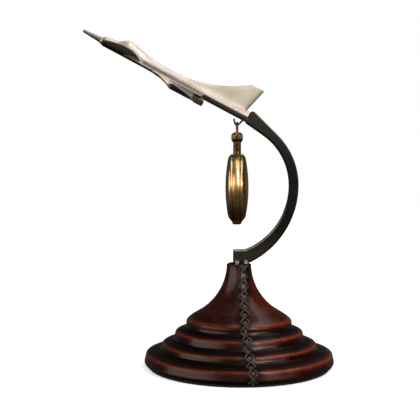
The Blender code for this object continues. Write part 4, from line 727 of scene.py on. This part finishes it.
# A copy of the same nickel, painted paler to stand for more light on fin, wings and pods, and scattering light as
# much as it reflects it.
lit_nickel = retoned(nickel, "satin nickel", "c7b6a3", "e2d4c2")
lit_nickel.node_tree.nodes["Principled BSDF"].inputs["Metallic"].default_value = 0.5
settled("jet_tail_fin", form, lit_nickel, "stand", "nickel", "tail_fin", at=to_jet)


# Wings: a slender ogee delta on each side, cast thin and faired up to the fuselage.
# The leading edges are filed to a narrow flat.

WING_START = 31.0
WING_HALF_SPAN = 27.0
WING_TIP_CHORD = 4.0
WING_DROOP = 0.10
WING_ROOT_BOTTOM = -1.9
WING_EDGE = 1.1
WING_RISE = 1.6
BODY_HALF_WIDTH = 3.6
WING_STATIONS = 90


def wing_reach(u):
    """Half span of the wing's edge at a station."""
    share = min(1, max(0, (u - WING_START) / (WING_END - WING_TIP_CHORD - WING_START)))
    start = body_half_width(WING_START, WING_ROOT_BOTTOM) + 1.2
    return start + (WING_HALF_SPAN - start) * (0.35 * share + 0.65 * share ** 2.2)


def wing_bottom(y):
    """Height of the wing's flat underside at a distance from the axis."""
    return WING_ROOT_BOTTOM - WING_DROOP * y


for label, side in (("left", 1), ("right", -1)):
    form = bmesh.new()
    stations = []
    for i in range(WING_STATIONS + 1):
        u = WING_START + (WING_END - WING_START) * i / WING_STATIONS
        tip = wing_reach(u) - 1.7 * (1 - step_up(u, 31, 42))
        near = min(body_half_width(u, wing_bottom(BODY_HALF_WIDTH) + WING_EDGE + WING_RISE) - 0.5, tip - 0.3)
        ring = []
        for share in (0, 0.06, 0.12, 0.2, 0.3, 0.42, 0.56, 0.7, 0.82, 0.91, 0.97):
            y = near + (tip - near) * share
            thin = 1 - 0.35 * max(0, share - 0.7) / 0.3
            ring.append((y, wing_bottom(y) + WING_EDGE * thin + WING_RISE * (1 - share) ** 2.2))
        ring += [(tip, wing_bottom(tip) + WING_EDGE * 0.5), (tip, wing_bottom(tip) + WING_EDGE * 0.2)]
        ring += [(y, wing_bottom(y)) for y in (near + 0.9 * (tip - near), (tip + near) / 2, near)]
        stations.append([Vector((u, side * y, v)) for y, v in ring])
    swept(form, stations)
    # Painted shade along the wing's edge and at its root.
    darkened(form, True)
    settled("jet_wing_" + label, form, lit_nickel, "stand", "nickel", "wing_" + label, at=to_jet)


# Engine pods: a flat box casting under each wing, with a ramp at the front and a wedge cut out for the intake.
# The wedge is a black block of painted shade, and two turned nozzles of heat-toned grey stand out at the back.

POD_OFFSET = 10.2
POD_HALF = 4.4
POD_HEIGHT = 3.0
POD_START = 56.0
POD_LIP = 70.5
POD_END = 90.5
THROAT = 74.2
THROAT_DEPTH = 1.35
INTAKE_END = 89.0
POD_LET_IN = 0.6
POD_DRAFT = 0.16
POD_CORNER = 0.25
INTAKE_INSET = 0.15
INTAKE_CORNER = 0.12
NOZZLE_ASIDE = 2.05
NOZZLE_DROP = -1.9
NOZZLE = ((0, 90.4), (1.8, 90.4), (1.9, 90.6), (1.9, 94.4), (1.84, 94.6), (1.84, 94.8), (1.88, 95.0), (1.68, 97.1),
          (1.6, 97.3), (1.3, 97.3), (1.2, 97.2), (1.1, 94.3), (0, 94.3))

# Painted shade: a dead black block in the intake's recess. Its grit is drawn at 0.8 mm, so that it shows.
intake_shade = grained("blacked recess", 0.0008, "050404", "171310", 0.7, shares=(0.35, 0.75))
# Nickel scaled by heat: a dull brown-grey in turned rings of 0.7 mm, coarser than real tool marks so that they show.
burnt = grained("heat-darkened nickel", (0.0007, 0.006, 0.006), "564e44", "8f8577", (0.42, 0.60), shares=(0.30, 0.75),
                across=(0, 1), laid=jet_laid, Metallic=0.5)

ramp = [(POD_START + (POD_LIP - POD_START) * t, POD_HEIGHT * t ** 2.6) for t in (i / 16 for i in range(1, 17))]
throat = [(THROAT + (INTAKE_END - THROAT) * t, THROAT_DEPTH + (POD_HEIGHT - THROAT_DEPTH) * t)
          for t in (0, 0.25, 0.5, 0.75, 1)]
pod_line = ramp + [(POD_LIP + 0.3, POD_HEIGHT)] + throat + [(POD_END, POD_HEIGHT)]
wedge = ((POD_LIP + 0.9, -POD_HEIGHT), (THROAT + 0.2, -THROAT_DEPTH - 0.2), (INTAKE_END - 1.6, -POD_HEIGHT))
for label, side in (("left", 1), ("right", -1)):
    seat = Vector((0, side * POD_OFFSET, wing_bottom(POD_OFFSET) - GAP))
    to_pod = to_jet @ Matrix.Translation(seat) @ Matrix.Rotation(-side * atan2(WING_DROOP, 1), 4, "X")
    form = bmesh.new()
    stations = []
    for u, depth in pod_line:
        far = min(POD_HALF, wing_reach(u) - POD_OFFSET - 0.6)
        draft = POD_DRAFT * depth
        corners = ((-POD_HALF, POD_LET_IN), (far, POD_LET_IN), (far + draft, -depth), (-POD_HALF, -depth))
        stations.append([Vector((u, side * y, v)) for y, v in corners])
    swept(form, stations)
    bmesh.ops.recalc_face_normals(form, faces=form.faces)
    sharp = [edge for edge in form.edges if edge.calc_face_angle(0) > radians(50)]
    rounded(form, sharp, POD_CORNER, 2)
    settled("jet_pod_" + label, form, lit_nickel, "stand", "nickel", "engine_pod_" + label, at=to_pod, flat=True)

    form = bmesh.new()
    cheek = form.faces.new([form.verts.new((u, INTAKE_INSET - POD_HALF, v)) for u, v in wedge])
    pushed(form, [cheek], (0, 2 * (POD_HALF - INTAKE_INSET), 0))
    rounded(form, form.edges[:], INTAKE_CORNER, 2)
    settled("jet_intake_" + label, form, intake_shade, "stand", "black", "intake_" + label, at=to_pod, flat=True)

    for spot, sideways in (("inner", -side), ("outer", side)):
        form = bmesh.new()
        turned(form, NOZZLE, "X", 48)
        to_nozzle = to_pod @ Matrix.Translation((0, sideways * NOZZLE_ASIDE, NOZZLE_DROP))
        spot_name = label + "_" + spot
        settled("jet_nozzle_" + spot_name, form, burnt, "stand", "dark_nickel", "nozzle_" + spot_name, at=to_nozzle)


# Watch hook: a length of black iron wire let into the jet's belly, bent up at its free end.
# The watch's bow hangs in the bend.

HOOK_SEAT = Vector((-1.4, 171.7))
HOOK_WIRE = 0.65
HOOK_BEND = 1.55
PRONG_LEAN = 14
PRONG_LENGTH = 3.4
SHANK_LEAN = 44
SHANK_LET_IN = 1.6
prong = Vector((-sin(radians(PRONG_LEAN)), cos(radians(PRONG_LEAN))))
shank = Vector((sin(radians(SHANK_LEAN)), cos(radians(SHANK_LEAN))))
bend = [Vector(point) for point in arc(HOOK_SEAT, HOOK_BEND, 180 + PRONG_LEAN, 360 - SHANK_LEAN, 24)]
jet_up = Vector((sin(JET_PITCH), cos(JET_PITCH)))
rise = (-BODY_BOTTOM - (bend[-1] - jet_nose.xz).dot(jet_up)) / shank.dot(jet_up)
route = [bend[0] + prong * PRONG_LENGTH * t for t in (1, 0.97, 0.9, 0.6, 0.3)] + bend
route += [bend[-1] + shank * (rise + SHANK_LET_IN) * t for t in (0.25, 0.5, 0.75, 1)]
route = [Vector((point.x, 0, point.y)) for point in route]
form = bmesh.new()
stations = tube(route, HOOK_WIRE, HOOK_WIRE, 16)
stations[0] = [point.lerp(route[0], 0.5) for point in stations[0]]
swept(form, stations)
# Annealed iron wire: a soft black with a grey bloom. Its scale is drawn at 0.7 mm, so that it shows.
iron = grained("black iron wire", 0.0007, "100e0c", "2f2b27", (0.40, 0.60), shares=(0.35, 0.75), across=(0, 1),
               Metallic=0.6)
settled("hook_wire", form, iron, "stand", "black", "watch_hook")


# Bow: a ring of drawn brass wire whose ends turn in to the pendant, so that the watch swings on it.
# It has tarnished brown, while the case's brass, set up here with it, is gold, with painted shade in its lower part.

BOW_WIRE = 0.7
BOW_RADIUS = 8.4
BOW_DROP = -16.8
BOW_END = 1.9
BOW_STRAIGHT = 3.0
BOW_CORNER = 4.3
BOW_FROM = -52
YAW = radians(-4)
dial_turn = Matrix.Rotation(YAW, 3, "Z") @ Matrix(((0, 0, -1), (-1, 0, 0), (0, 1, 0)))
to_bow = Matrix.Translation((HOOK_SEAT.x, 0, HOOK_SEAT.y)) @ dial_turn.to_4x4()

# Old case brass: a warm gold that clouds over 9 mm, painted brown with shade and duller in its lower part.
# Its specks of oxide are drawn at 1 mm, so that they show.
brass, tree, shader = finish("aged case brass", Metallic=1.0)
place = node(tree, "TexCoord", out="Object")
broad = node(tree, "Mapping", {"Vector": place, "Scale": (0.009, 0.009, 0.009)}, vector_type="TEXTURE")
cloud = node(tree, "TexNoise", {"Vector": broad, "Scale": 1.0, "Detail": 6.0, "Roughness": 0.62})
fine = node(tree, "Mapping", {"Vector": place, "Scale": (0.0010, 0.0010, 0.0010)}, vector_type="TEXTURE")
speck = node(tree, "TexNoise", {"Vector": fine, "Scale": 1.0, "Detail": 5.0})
age = node(tree, "Mix", {"Factor": 0.15, 2: cloud, 3: speck})
shade = node(tree, "ValToRGB", {"Fac": age}, ((0.28, "a67c46"), (0.72, "f2d6a2"), (0.45, "cfa468")))
# Painted shade: dark brown towards the bottom of the case and on its hinge.
low = node(tree, "Attribute", out="Fac", attribute_name="painted_low_shade")
node(tree, "Mix", {"Factor": low, 6: shade, 7: linear("33250f")}, to=shader["Base Color"], data_type="RGBA")
rough = node(tree, "MapRange", {"Value": age, "From Min": 0.3, "From Max": 0.7, "To Min": 0.34, "To Max": 0.25})
node(tree, "Math", {0: low, 1: 0.25, 2: rough}, to=shader["Roughness"], operation="MULTIPLY_ADD")
# The same brass, tarnished all over: dark brown with dull gold highlights.
tarnished = retoned(brass, "tarnished brass", "2c2012", "5a4527", "8a6c42")

ring = arc((0, -BOW_RADIUS), BOW_RADIUS, BOW_FROM, 180 - BOW_FROM, 96)
turn_in = [(BOW_END, BOW_DROP)] + eased((BOW_STRAIGHT, BOW_DROP), (BOW_CORNER, BOW_DROP), ring[0], 8)[:-1]
route = turn_in + ring + [(-x, y) for x, y in turn_in[::-1]]
form = bmesh.new()
way = [Vector((0, 0, 1))] * len(route)
swept(form, tube([Vector((x, y, 0)) for x, y in route], BOW_WIRE, BOW_WIRE, 18, way))
settled("bow_ring", form, tarnished, "bow", "bronze", "bow", at=to_bow)


# Case band: the middle of the watch case, turned from brass with a lip each side for the covers.
# Two hinge lugs are soldered on under six o'clock.

WATCH_CENTRE = Vector((-1.4, 0, 126.2))
HINGE_DROP = -24.9
HINGE_OFFSET = 2.0
KNUCKLE = 1.2
LUG_CORNER = 0.15
BAND_SWELL = 0.36
LOWER_SHADE = 0.80
HINGE_SHADE = 0.18
to_dial = Matrix.Translation(WATCH_CENTRE) @ dial_turn.to_4x4()
band_outline = [(20.6, -4.6), (21.8, -4.6), (21.8, -2.4), (22.9, -2.4), (23.05, -2.33), (23.13, -2.2)]
swell = (-2.0, -1.5, -1.0, -0.5, 0, 0.5, 1.0, 1.5, 2.0)
band_outline += [(23.15 + BAND_SWELL * cos(z / 2.1 * pi / 2), z) for z in swell]
band_outline += [(23.13, 2.2), (23.05, 2.33), (22.9, 2.4), (21.8, 2.4), (21.8, 4.6), (20.6, 4.6)]
form = bmesh.new()
turned(form, band_outline, "Z", 160, closed=True)


def shade_case_bottom(form):
    """Marks painted shade on the case: its lower part and, more strongly, its hinge."""
    painted_low_shade = form.verts.layers.float.new("painted_low_shade")
    for corner in form.verts:
        drop = -corner.co.y
        corner[painted_low_shade] = LOWER_SHADE * step_up(drop, 4.0, 23.0) + HINGE_SHADE * step_up(drop, 22.0, 23.6)


def block(form, outline, low, high):
    """A block whose (z, y) outline runs along the dial's X between two places, with its corners eased."""
    near = form.faces.new([form.verts.new((low, y, z)) for z, y in outline])
    made = pushed(form, [near], (high - low, 0, 0))
    ends = {near, *(part for part in made if isinstance(part, bmesh.types.BMFace))}
    rims = [edge for edge in form.edges if len(edge.link_faces) == 2 and ends.intersection(edge.link_faces)]
    rounded(form, rims, LUG_CORNER, 2)


lug = arc((HINGE_OFFSET, HINGE_DROP), KNUCKLE, 0, -90, 8) + arc((-HINGE_OFFSET, HINGE_DROP), KNUCKLE, -90, -180, 8)
lug += [(-3.05, -24.1), (-2.66, -23.45), (-2.64, -22.4), (2.64, -22.4), (2.66, -23.45), (3.05, -24.1)]
block(form, lug, 2.1, 4.5)
block(form, lug, -4.5, -2.1)
shade_case_bottom(form)
settled("watch_band", form, brass, "watch_case", "bronze", "case_band", at=to_dial, flat=True)


# Covers: two spun and domed lids, front and back, each with a rolled rim and a hinge knuckle at six o'clock.
# A fine groove is turned where the dome meets the rim.

cover_outline = [(21.4 * t, 8.1 - 2.1 * t * t) for t in (i / 24 * 0.865 for i in range(25))]
cover_outline += [(18.68, 6.44), (18.86, 6.30), (19.05, 6.36), (19.2, 6.46)]
cover_outline += eased((19.4, 6.45), (22.7, 5.75), (23.4, 3.8), 14)
cover_outline += [(23.4, 3.2), (23.36, 2.95), (23.26, 2.76), (23.1, 2.7), (22.1, 2.7), (22.1, 4.9)]
cover_outline += [(21.4 * t, 7.3 - 2.1 * t * t) for t in (0.97, 0.8, 0.6, 0.3, 0)]
tab_turn = acos(0.85 / KNUCKLE) * 180 / pi
knuckle = arc((HINGE_OFFSET, HINGE_DROP), KNUCKLE, tab_turn, 360, 20) + [(4.8, -22.5), (2.85, -22.5)]
for name, face in (("front", 1), ("back", -1)):
    form = bmesh.new()
    turned(form, [(r, face * z) for r, z in cover_outline], "Z", 160)
    block(form, [(face * z, y) for z, y in knuckle], -1.8, 1.8)
    shade_case_bottom(form)
    settled("watch_" + name + "_lid", form, brass, name + "_lid", "bronze", name + "_cover", at=to_dial, flat=True)


# Pendant: the short tube at twelve o'clock, cross-drilled for the bow's ends.
# The drilled hole shows dark beside the wire.

PIVOT = 28.7
BORE_RADIUS = 1.05
BORE_LENGTH = 8
pendant_outline = [(1.45, 23.2), (2.75, 23.2), (2.9, 23.5), (2.9, 24.2), (2.75, 24.5), (2.75, 31.6), (2.68, 31.95),
                   (2.45, 32.2), (1.45, 32.2)]
form = bmesh.new()
turned(form, pendant_outline, "Y", 64, closed=True)
pendant = settled("watch_pendant", form, tarnished, "watch_case", "bronze", "pendant", at=to_dial)
form = bmesh.new()
bmesh.ops.create_cone(form, cap_ends=True, segments=32, radius1=BORE_RADIUS, radius2=BORE_RADIUS, depth=BORE_LENGTH)
bmesh.ops.rotate(form, cent=(0, 0, 0), matrix=Matrix.Rotation(pi / 2, 3, "Y"), verts=form.verts)
bmesh.ops.translate(form, vec=(0, PIVOT, 0), verts=form.verts)
drill = settled("drill", form, brass, "watch_case", "bronze", at=to_dial)
bore = pendant.modifiers.new("Bore", "BOOLEAN")
bore.object = drill
bore.solver = "EXACT"
drilled = bpy.data.meshes.new_from_object(pendant.evaluated_get(bpy.context.evaluated_depsgraph_get()))
form = bmesh.new()
form.from_mesh(drilled)
bmesh.ops.dissolve_degenerate(form, dist=1e-6, edges=form.edges)
bmesh.ops.triangulate(form, faces=form.faces)
form.to_mesh(drilled)
form.free()
pendant.modifiers.clear()
pendant.data = drilled
bpy.data.objects.remove(drill, do_unlink=True)


# Crown: a fluted brass knob with a low dome, on the square winding stem.
# It has tarnished brown like the bow and the pendant, and its flutes look darker than its dome.

FLUTES = 28
FLUTE_DEPTH = 0.04
crown_outline = [(0, 37.4), (0.95, 37.4), (0.95, 33.0), (2.95, 33.0), (2.95, 32.0), (3.2, 31.9), (3.6, 32.5),
                 (4.0, 33.4), (4.1, 34.0), (4.1, 35.0), (4.1, 36.0), (4.1, 37.1)]
crown_outline += [(3.85 * cos(radians(a)), 37.1 + 1.9 * sin(radians(a))) for a in (4, 15, 28, 42, 56, 70, 82)]
crown_outline += [(0, 39.0)]
form = bmesh.new()
turned(form, crown_outline, "Y", FLUTES * 8)
for corner in form.verts:
    radius = hypot(corner.co.x, corner.co.z)
    if radius > 3.5 and 33.4 < corner.co.y < 37.2:
        wave = abs(sin(atan2(corner.co.z, corner.co.x) * FLUTES / 2))
        shrink = 1 - FLUTE_DEPTH * (1 - wave) ** 1.5
        corner.co.x *= shrink
        corner.co.z *= shrink
settled("watch_crown", form, tarnished, "crown_button", "bronze", "crown", at=to_dial)


# Frayed thread: pale waxed linen ends of the seam's top stitch, left loose where the neck meets the arm's foot.
# Two small tufts stand out at the front, each of fine tapered fibres.

FIBRE = 0.11
TUFT_SPREAD = 1.506237
TUFT_FRONT = -7.5
TUFT_SEED = 2
noise.seed_set(TUFT_SEED)
form = bmesh.new()
for tuft, count in ((Vector((-1.6, -6.6, 72.9)), 90), (Vector((4.9, -5.4, 73.0)), 70)):
    for i in range(count):
        seed = Vector((tuft.x * 7 + i * 3.17, i * 1.93, 4.1))
        root = tuft + noise.noise_vector(seed) * TUFT_SPREAD
        root.y = max(root.y, TUFT_FRONT)
        drift = noise.noise_vector(seed + Vector((9.3, 2.1, 0)))
        way = Vector((drift.x * 1.6, -0.55 + drift.y * 0.5, 0.35 + drift.z * 1.3)).normalized()
        curl = noise.noise_vector(seed + Vector((1.7, 5.2, 8.8))) * 1.6
        length = 1.2 + 1.6 * abs(noise.noise(seed + Vector((4.4, 0, 0))))
        points = [root + way * length * t + curl * (t * length) ** 2 * 0.25 for t in (0, 0.35, 0.7, 1)]
        stations = tube(points, FIBRE, FIBRE, 5)
        stations[-1] = [points[-1] + (p - points[-1]) * 0.25 for p in stations[-1]]
        swept(form, stations)

# Bleached linen: a pale, matt fuzz. Its fibres are drawn 0.22 mm thick and its flecks at 0.7 mm, so that they show.
linen = grained("frayed linen", 0.0007, "b5afa8", "f0ece6", 0.8, shares=(0.30, 0.70), detail=3.0, Sheen_Weight=0.3)
settled("frayed_thread", form, linen, "stand", "lace")


# Wooden core and fixings: turned hardwood under the leather, with plated steel studs, washer and nut.
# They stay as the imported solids, out of sight.


def dressed(material, *names):
    """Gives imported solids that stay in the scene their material."""
    for name in names:
        mesh = frame["nodes"][name].data
        mesh.materials.clear()
        mesh.materials.append(material)


# Beech shows a fine brown grain along the turning, and plated steel a cool, even shine.
wood = grained("turned beech", (0.0012, 0.0012, 0.03), "8a6038", "c29864", (0.5, 0.7), 0.4)
steel = grained("plated steel", (0.004, 0.0004, 0.0004), "8d8f92", "c3c5c8", (0.24, 0.38), 0.1, Metallic=1.0)
dressed(wood, "base_core")
dressed(steel, "arm_stud", "stud_washer", "stud_nut", "tail_stud")


# Dial, crystal and hands: an off-white enamelled dial behind a mineral glass in a brass bezel, with blued hands.
# The dial's minute track and hour batons are printed in black.

TRACK_RADIUS = 18.6
INK_HEIGHT = 0.04
INK_LIFT = 0.03
# Fired enamel is glossy and even, blued steel a deep shining blue, gilt brass a clean yellow, and the glass clear.
enamel = grained("cream enamel", 0.003, "e2dccb", "efeadd", (0.22, 0.30), Coat_Weight=0.5)
blued = grained("blued steel", (0.002, 0.0005, 0.0005), "131c46", "2b3f86", (0.20, 0.32), Metallic=1.0)
plate = grained("gilt brass", (0.005, 0.0005, 0.0005), "a88544", "d8b56c", (0.24, 0.38), 0.1, Metallic=1.0)
glass = grained("mineral glass", 0.02, "f4f8f6", "ffffff", (0.0, 0.03), Transmission_Weight=1.0, IOR=1.5)
dressed(enamel, "dial")
dressed(glass, "crystal")
dressed(plate, "bezel")
dressed(blued, "hour_hand", "minute_hand", "seconds_hand")

dial_front = max((to_dial.inverted() @ (corner.co * 1000)).z for corner in frame["nodes"]["dial"].data.vertices)
form = bmesh.new()
for i in range(60):
    long, wide = (2.6, 0.42) if i % 15 == 0 else (1.9, 0.26) if i % 5 == 0 else (0.8, 0.07)
    mark = bmesh.ops.create_cube(form, size=1)["verts"]
    bmesh.ops.scale(form, vec=(2 * wide, long, INK_HEIGHT), verts=mark)
    bmesh.ops.translate(form, vec=(0, TRACK_RADIUS - long / 2, dial_front + INK_LIFT), verts=mark)
    bmesh.ops.rotate(form, cent=(0, 0, 0), matrix=Matrix.Rotation(tau * i / 60, 3, "Z"), verts=mark)
# Printing ink: a thin, nearly matt black.
ink = grained("printed ink", 0.0006, "0c0c0d", "1d1c1b", (0.45, 0.6))
settled("dial_print", form, ink, "watch_case", "black", at=to_dial)


# Movement: a plain battery train on brass plates, held in a moulded ring under the dial.
# Brass wheels, steel arbors, a copper coil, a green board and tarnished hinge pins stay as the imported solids.

# The ring is a dull cream plastic, the coil shining red-brown wire, and the board a mottled green.
moulded = grained("moulded plastic", 0.002, "d8d4c8", "e8e5dc", (0.4, 0.5))
copper = grained("enamelled copper wire", (0.0002, 0.002, 0.0002), "8a4420", "c8763f", (0.25, 0.4), 0.5, Metallic=1.0)
laminate = grained("green laminate", 0.0008, "1c4a2c", "2f6b40", (0.35, 0.5))
dressed(moulded, "movement_ring")
dressed(copper, "drive_coil")
dressed(laminate, "circuit_board")
dressed(plate, "main_plate", "train_bridge", "seconds_wheel", "third_wheel", "centre_wheel", "minute_wheel",
        "hour_wheel", "intermediate_wheel")
dressed(tarnished, "front_hinge_pin", "back_hinge_pin")
dressed(steel, "lock_spring", "lift_spring", "bridge_screw_1", "bridge_screw_2", "stator", "coin_cell",
        "winding_sleeve", "crown_stem", "cannon_pinion", "rotor")


# Stage: a pale floor and a white surround, both darker to glossy rays, so that metal and leather reflect a dim room.
# Soft boxes stand left and above, a strip and a low box at the right, and the camera at the photo's place.

FLOOR_HALF = 3
CAMERA_AT = Vector((-0.0205, -0.56, 0.1292))
CAMERA_AIM = Vector((-0.0205, 0, 0.1102))
CAMERA_LENS = 67.9
LAMPS = (("left_box", (-0.78, -0.45, 0.25), (0, 0, 0.10), (1.15, 1.0), 6.0),
         ("right_strip", (0.38, -0.66, 0.60), (0, 0, 0.10), (0.24, 0.8), 3.8),
         ("right_low", (0.53, -0.51, 0.27), (0, 0, 0.05), (0.42, 0.12), 1.0),
         ("top_box", (0.26, 0.1, 0.9), (0, 0, 0.10), (0.8, 0.8), 2.6))


def placed(name, data):
    """A new object in the scene."""
    thing = bpy.data.objects.new(name, data)
    scene.collection.objects.link(thing)
    return thing


def aimed(start, end):
    """The turn that points a lamp or the camera from one place at another."""
    return (Vector(end) - Vector(start)).to_track_quat("-Z", "Y").to_euler()


floor_mesh = bpy.data.meshes.new("floor")
form = bmesh.new()
bmesh.ops.create_grid(form, x_segments=1, y_segments=1, size=FLOOR_HALF)
form.to_mesh(floor_mesh)
form.free()
floor = placed("floor", floor_mesh)
# Matt paper: an even white that glows a little more with distance, and dims for rays that don't come from the eye.
paper, tree, shader = finish("white paper", Roughness=0.9, Emission_Color=(1, 1, 1, 1))
place = node(tree, "TexCoord", out="Object")
fine = node(tree, "Mapping", {"Vector": place, "Scale": (0.01, 0.01, 0.01)}, vector_type="TEXTURE")
cloud = node(tree, "TexNoise", {"Vector": fine, "Scale": 1.0, "Detail": 2.0})
shade = node(tree, "ValToRGB", {"Fac": cloud}, ((0.0, "f4f4f4"), (1.0, "f8f8f8")))
path = node(tree, "LightPath").node.outputs
node(tree, "Mix", {"Factor": path["Is Camera Ray"], 6: linear("454443"), 7: shade}, to=shader["Base Color"],
     data_type="RGBA")
seen = node(tree, "Math", {0: path["Is Camera Ray"], 1: path["Is Transmission Ray"]}, operation="MAXIMUM")
far = node(tree, "VectorMath", {0: place}, operation="LENGTH")
glow = node(tree, "MapRange", {"Value": far, "From Min": 0.1, "From Max": 0.9, "To Min": 0.55, "To Max": 1.0},
            interpolation_type="SMOOTHSTEP")
node(tree, "Math", {0: seen, 1: glow}, to=shader["Emission Strength"], operation="MULTIPLY")
floor_mesh.materials.append(paper)

# The surround is white to the eye. Glossy rays see it dark, but for a glow overhead, in front and low behind.
world = bpy.data.worlds.new("surround")
world.use_nodes = True
scene.world = world
tree = world.node_tree
back = tree.nodes["Background"].inputs
back["Color"].default_value = (1, 1, 1, 1)
path = node(tree, "LightPath").node.outputs
seen = node(tree, "Math", {0: path["Is Camera Ray"], 1: path["Is Transmission Ray"]}, operation="MAXIMUM")
way = node(tree, "SeparateXYZ", {0: node(tree, "TexCoord", out="Generated")}).node.outputs
rise = node(tree, "MapRange", {"Value": way["Z"], "From Min": 0.72, "From Max": 0.97, "To Min": 0.02, "To Max": 0.60})
tilt = node(tree, "MapRange", {"Value": way["X"], "From Min": -0.35, "From Max": 0.15, "To Min": 0.3})
rise = node(tree, "Math", {0: rise, 1: tilt}, operation="MULTIPLY")
front = node(tree, "MapRange", {"Value": way["Y"], "From Min": -0.25, "From Max": -0.85})
above = node(tree, "MapRange", {"Value": way["Z"], "From Min": -0.15, "From Max": 0.12, "To Max": 0.82})
ahead = node(tree, "Math", {0: front, 1: above}, operation="MULTIPLY")
below = node(tree, "MapRange", {"Value": way["Z"], "From Min": 0.30, "From Max": 0.65, "To Min": 1.0, "To Max": 0.35})
ahead = node(tree, "Math", {0: ahead, 1: below}, operation="MULTIPLY")
rise = node(tree, "Math", {0: rise, 1: ahead}, operation="MAXIMUM")
behind = node(tree, "MapRange", {"Value": way["Y"], "From Min": 0.2, "From Max": 0.9})
low = node(tree, "MapRange", {"Value": way["Z"], "From Max": 0.2, "To Min": 0.10, "To Max": 0.05})
behind = node(tree, "Math", {0: behind, 1: low}, operation="MULTIPLY")
rise = node(tree, "Math", {0: rise, 1: behind}, operation="MAXIMUM")
level = node(tree, "Mix", {"Factor": path["Is Glossy Ray"], 2: 0.22, 3: rise})
node(tree, "Mix", {"Factor": seen, 2: level, 3: 1.0}, to=back["Strength"])

for name, place, aim, size, power in LAMPS:
    light = bpy.data.lights.new(name, "AREA")
    light.shape = "RECTANGLE"
    light.size, light.size_y = size
    light.energy = power
    lamp = placed(name, light)
    lamp.location = place
    lamp.rotation_euler = aimed(place, aim)

camera = placed("camera", bpy.data.cameras.new("camera"))
camera.location = CAMERA_AT
camera.rotation_euler = aimed(CAMERA_AT, CAMERA_AIM)
camera.data.lens = CAMERA_LENS
camera.data.sensor_width = 36
scene.camera = camera
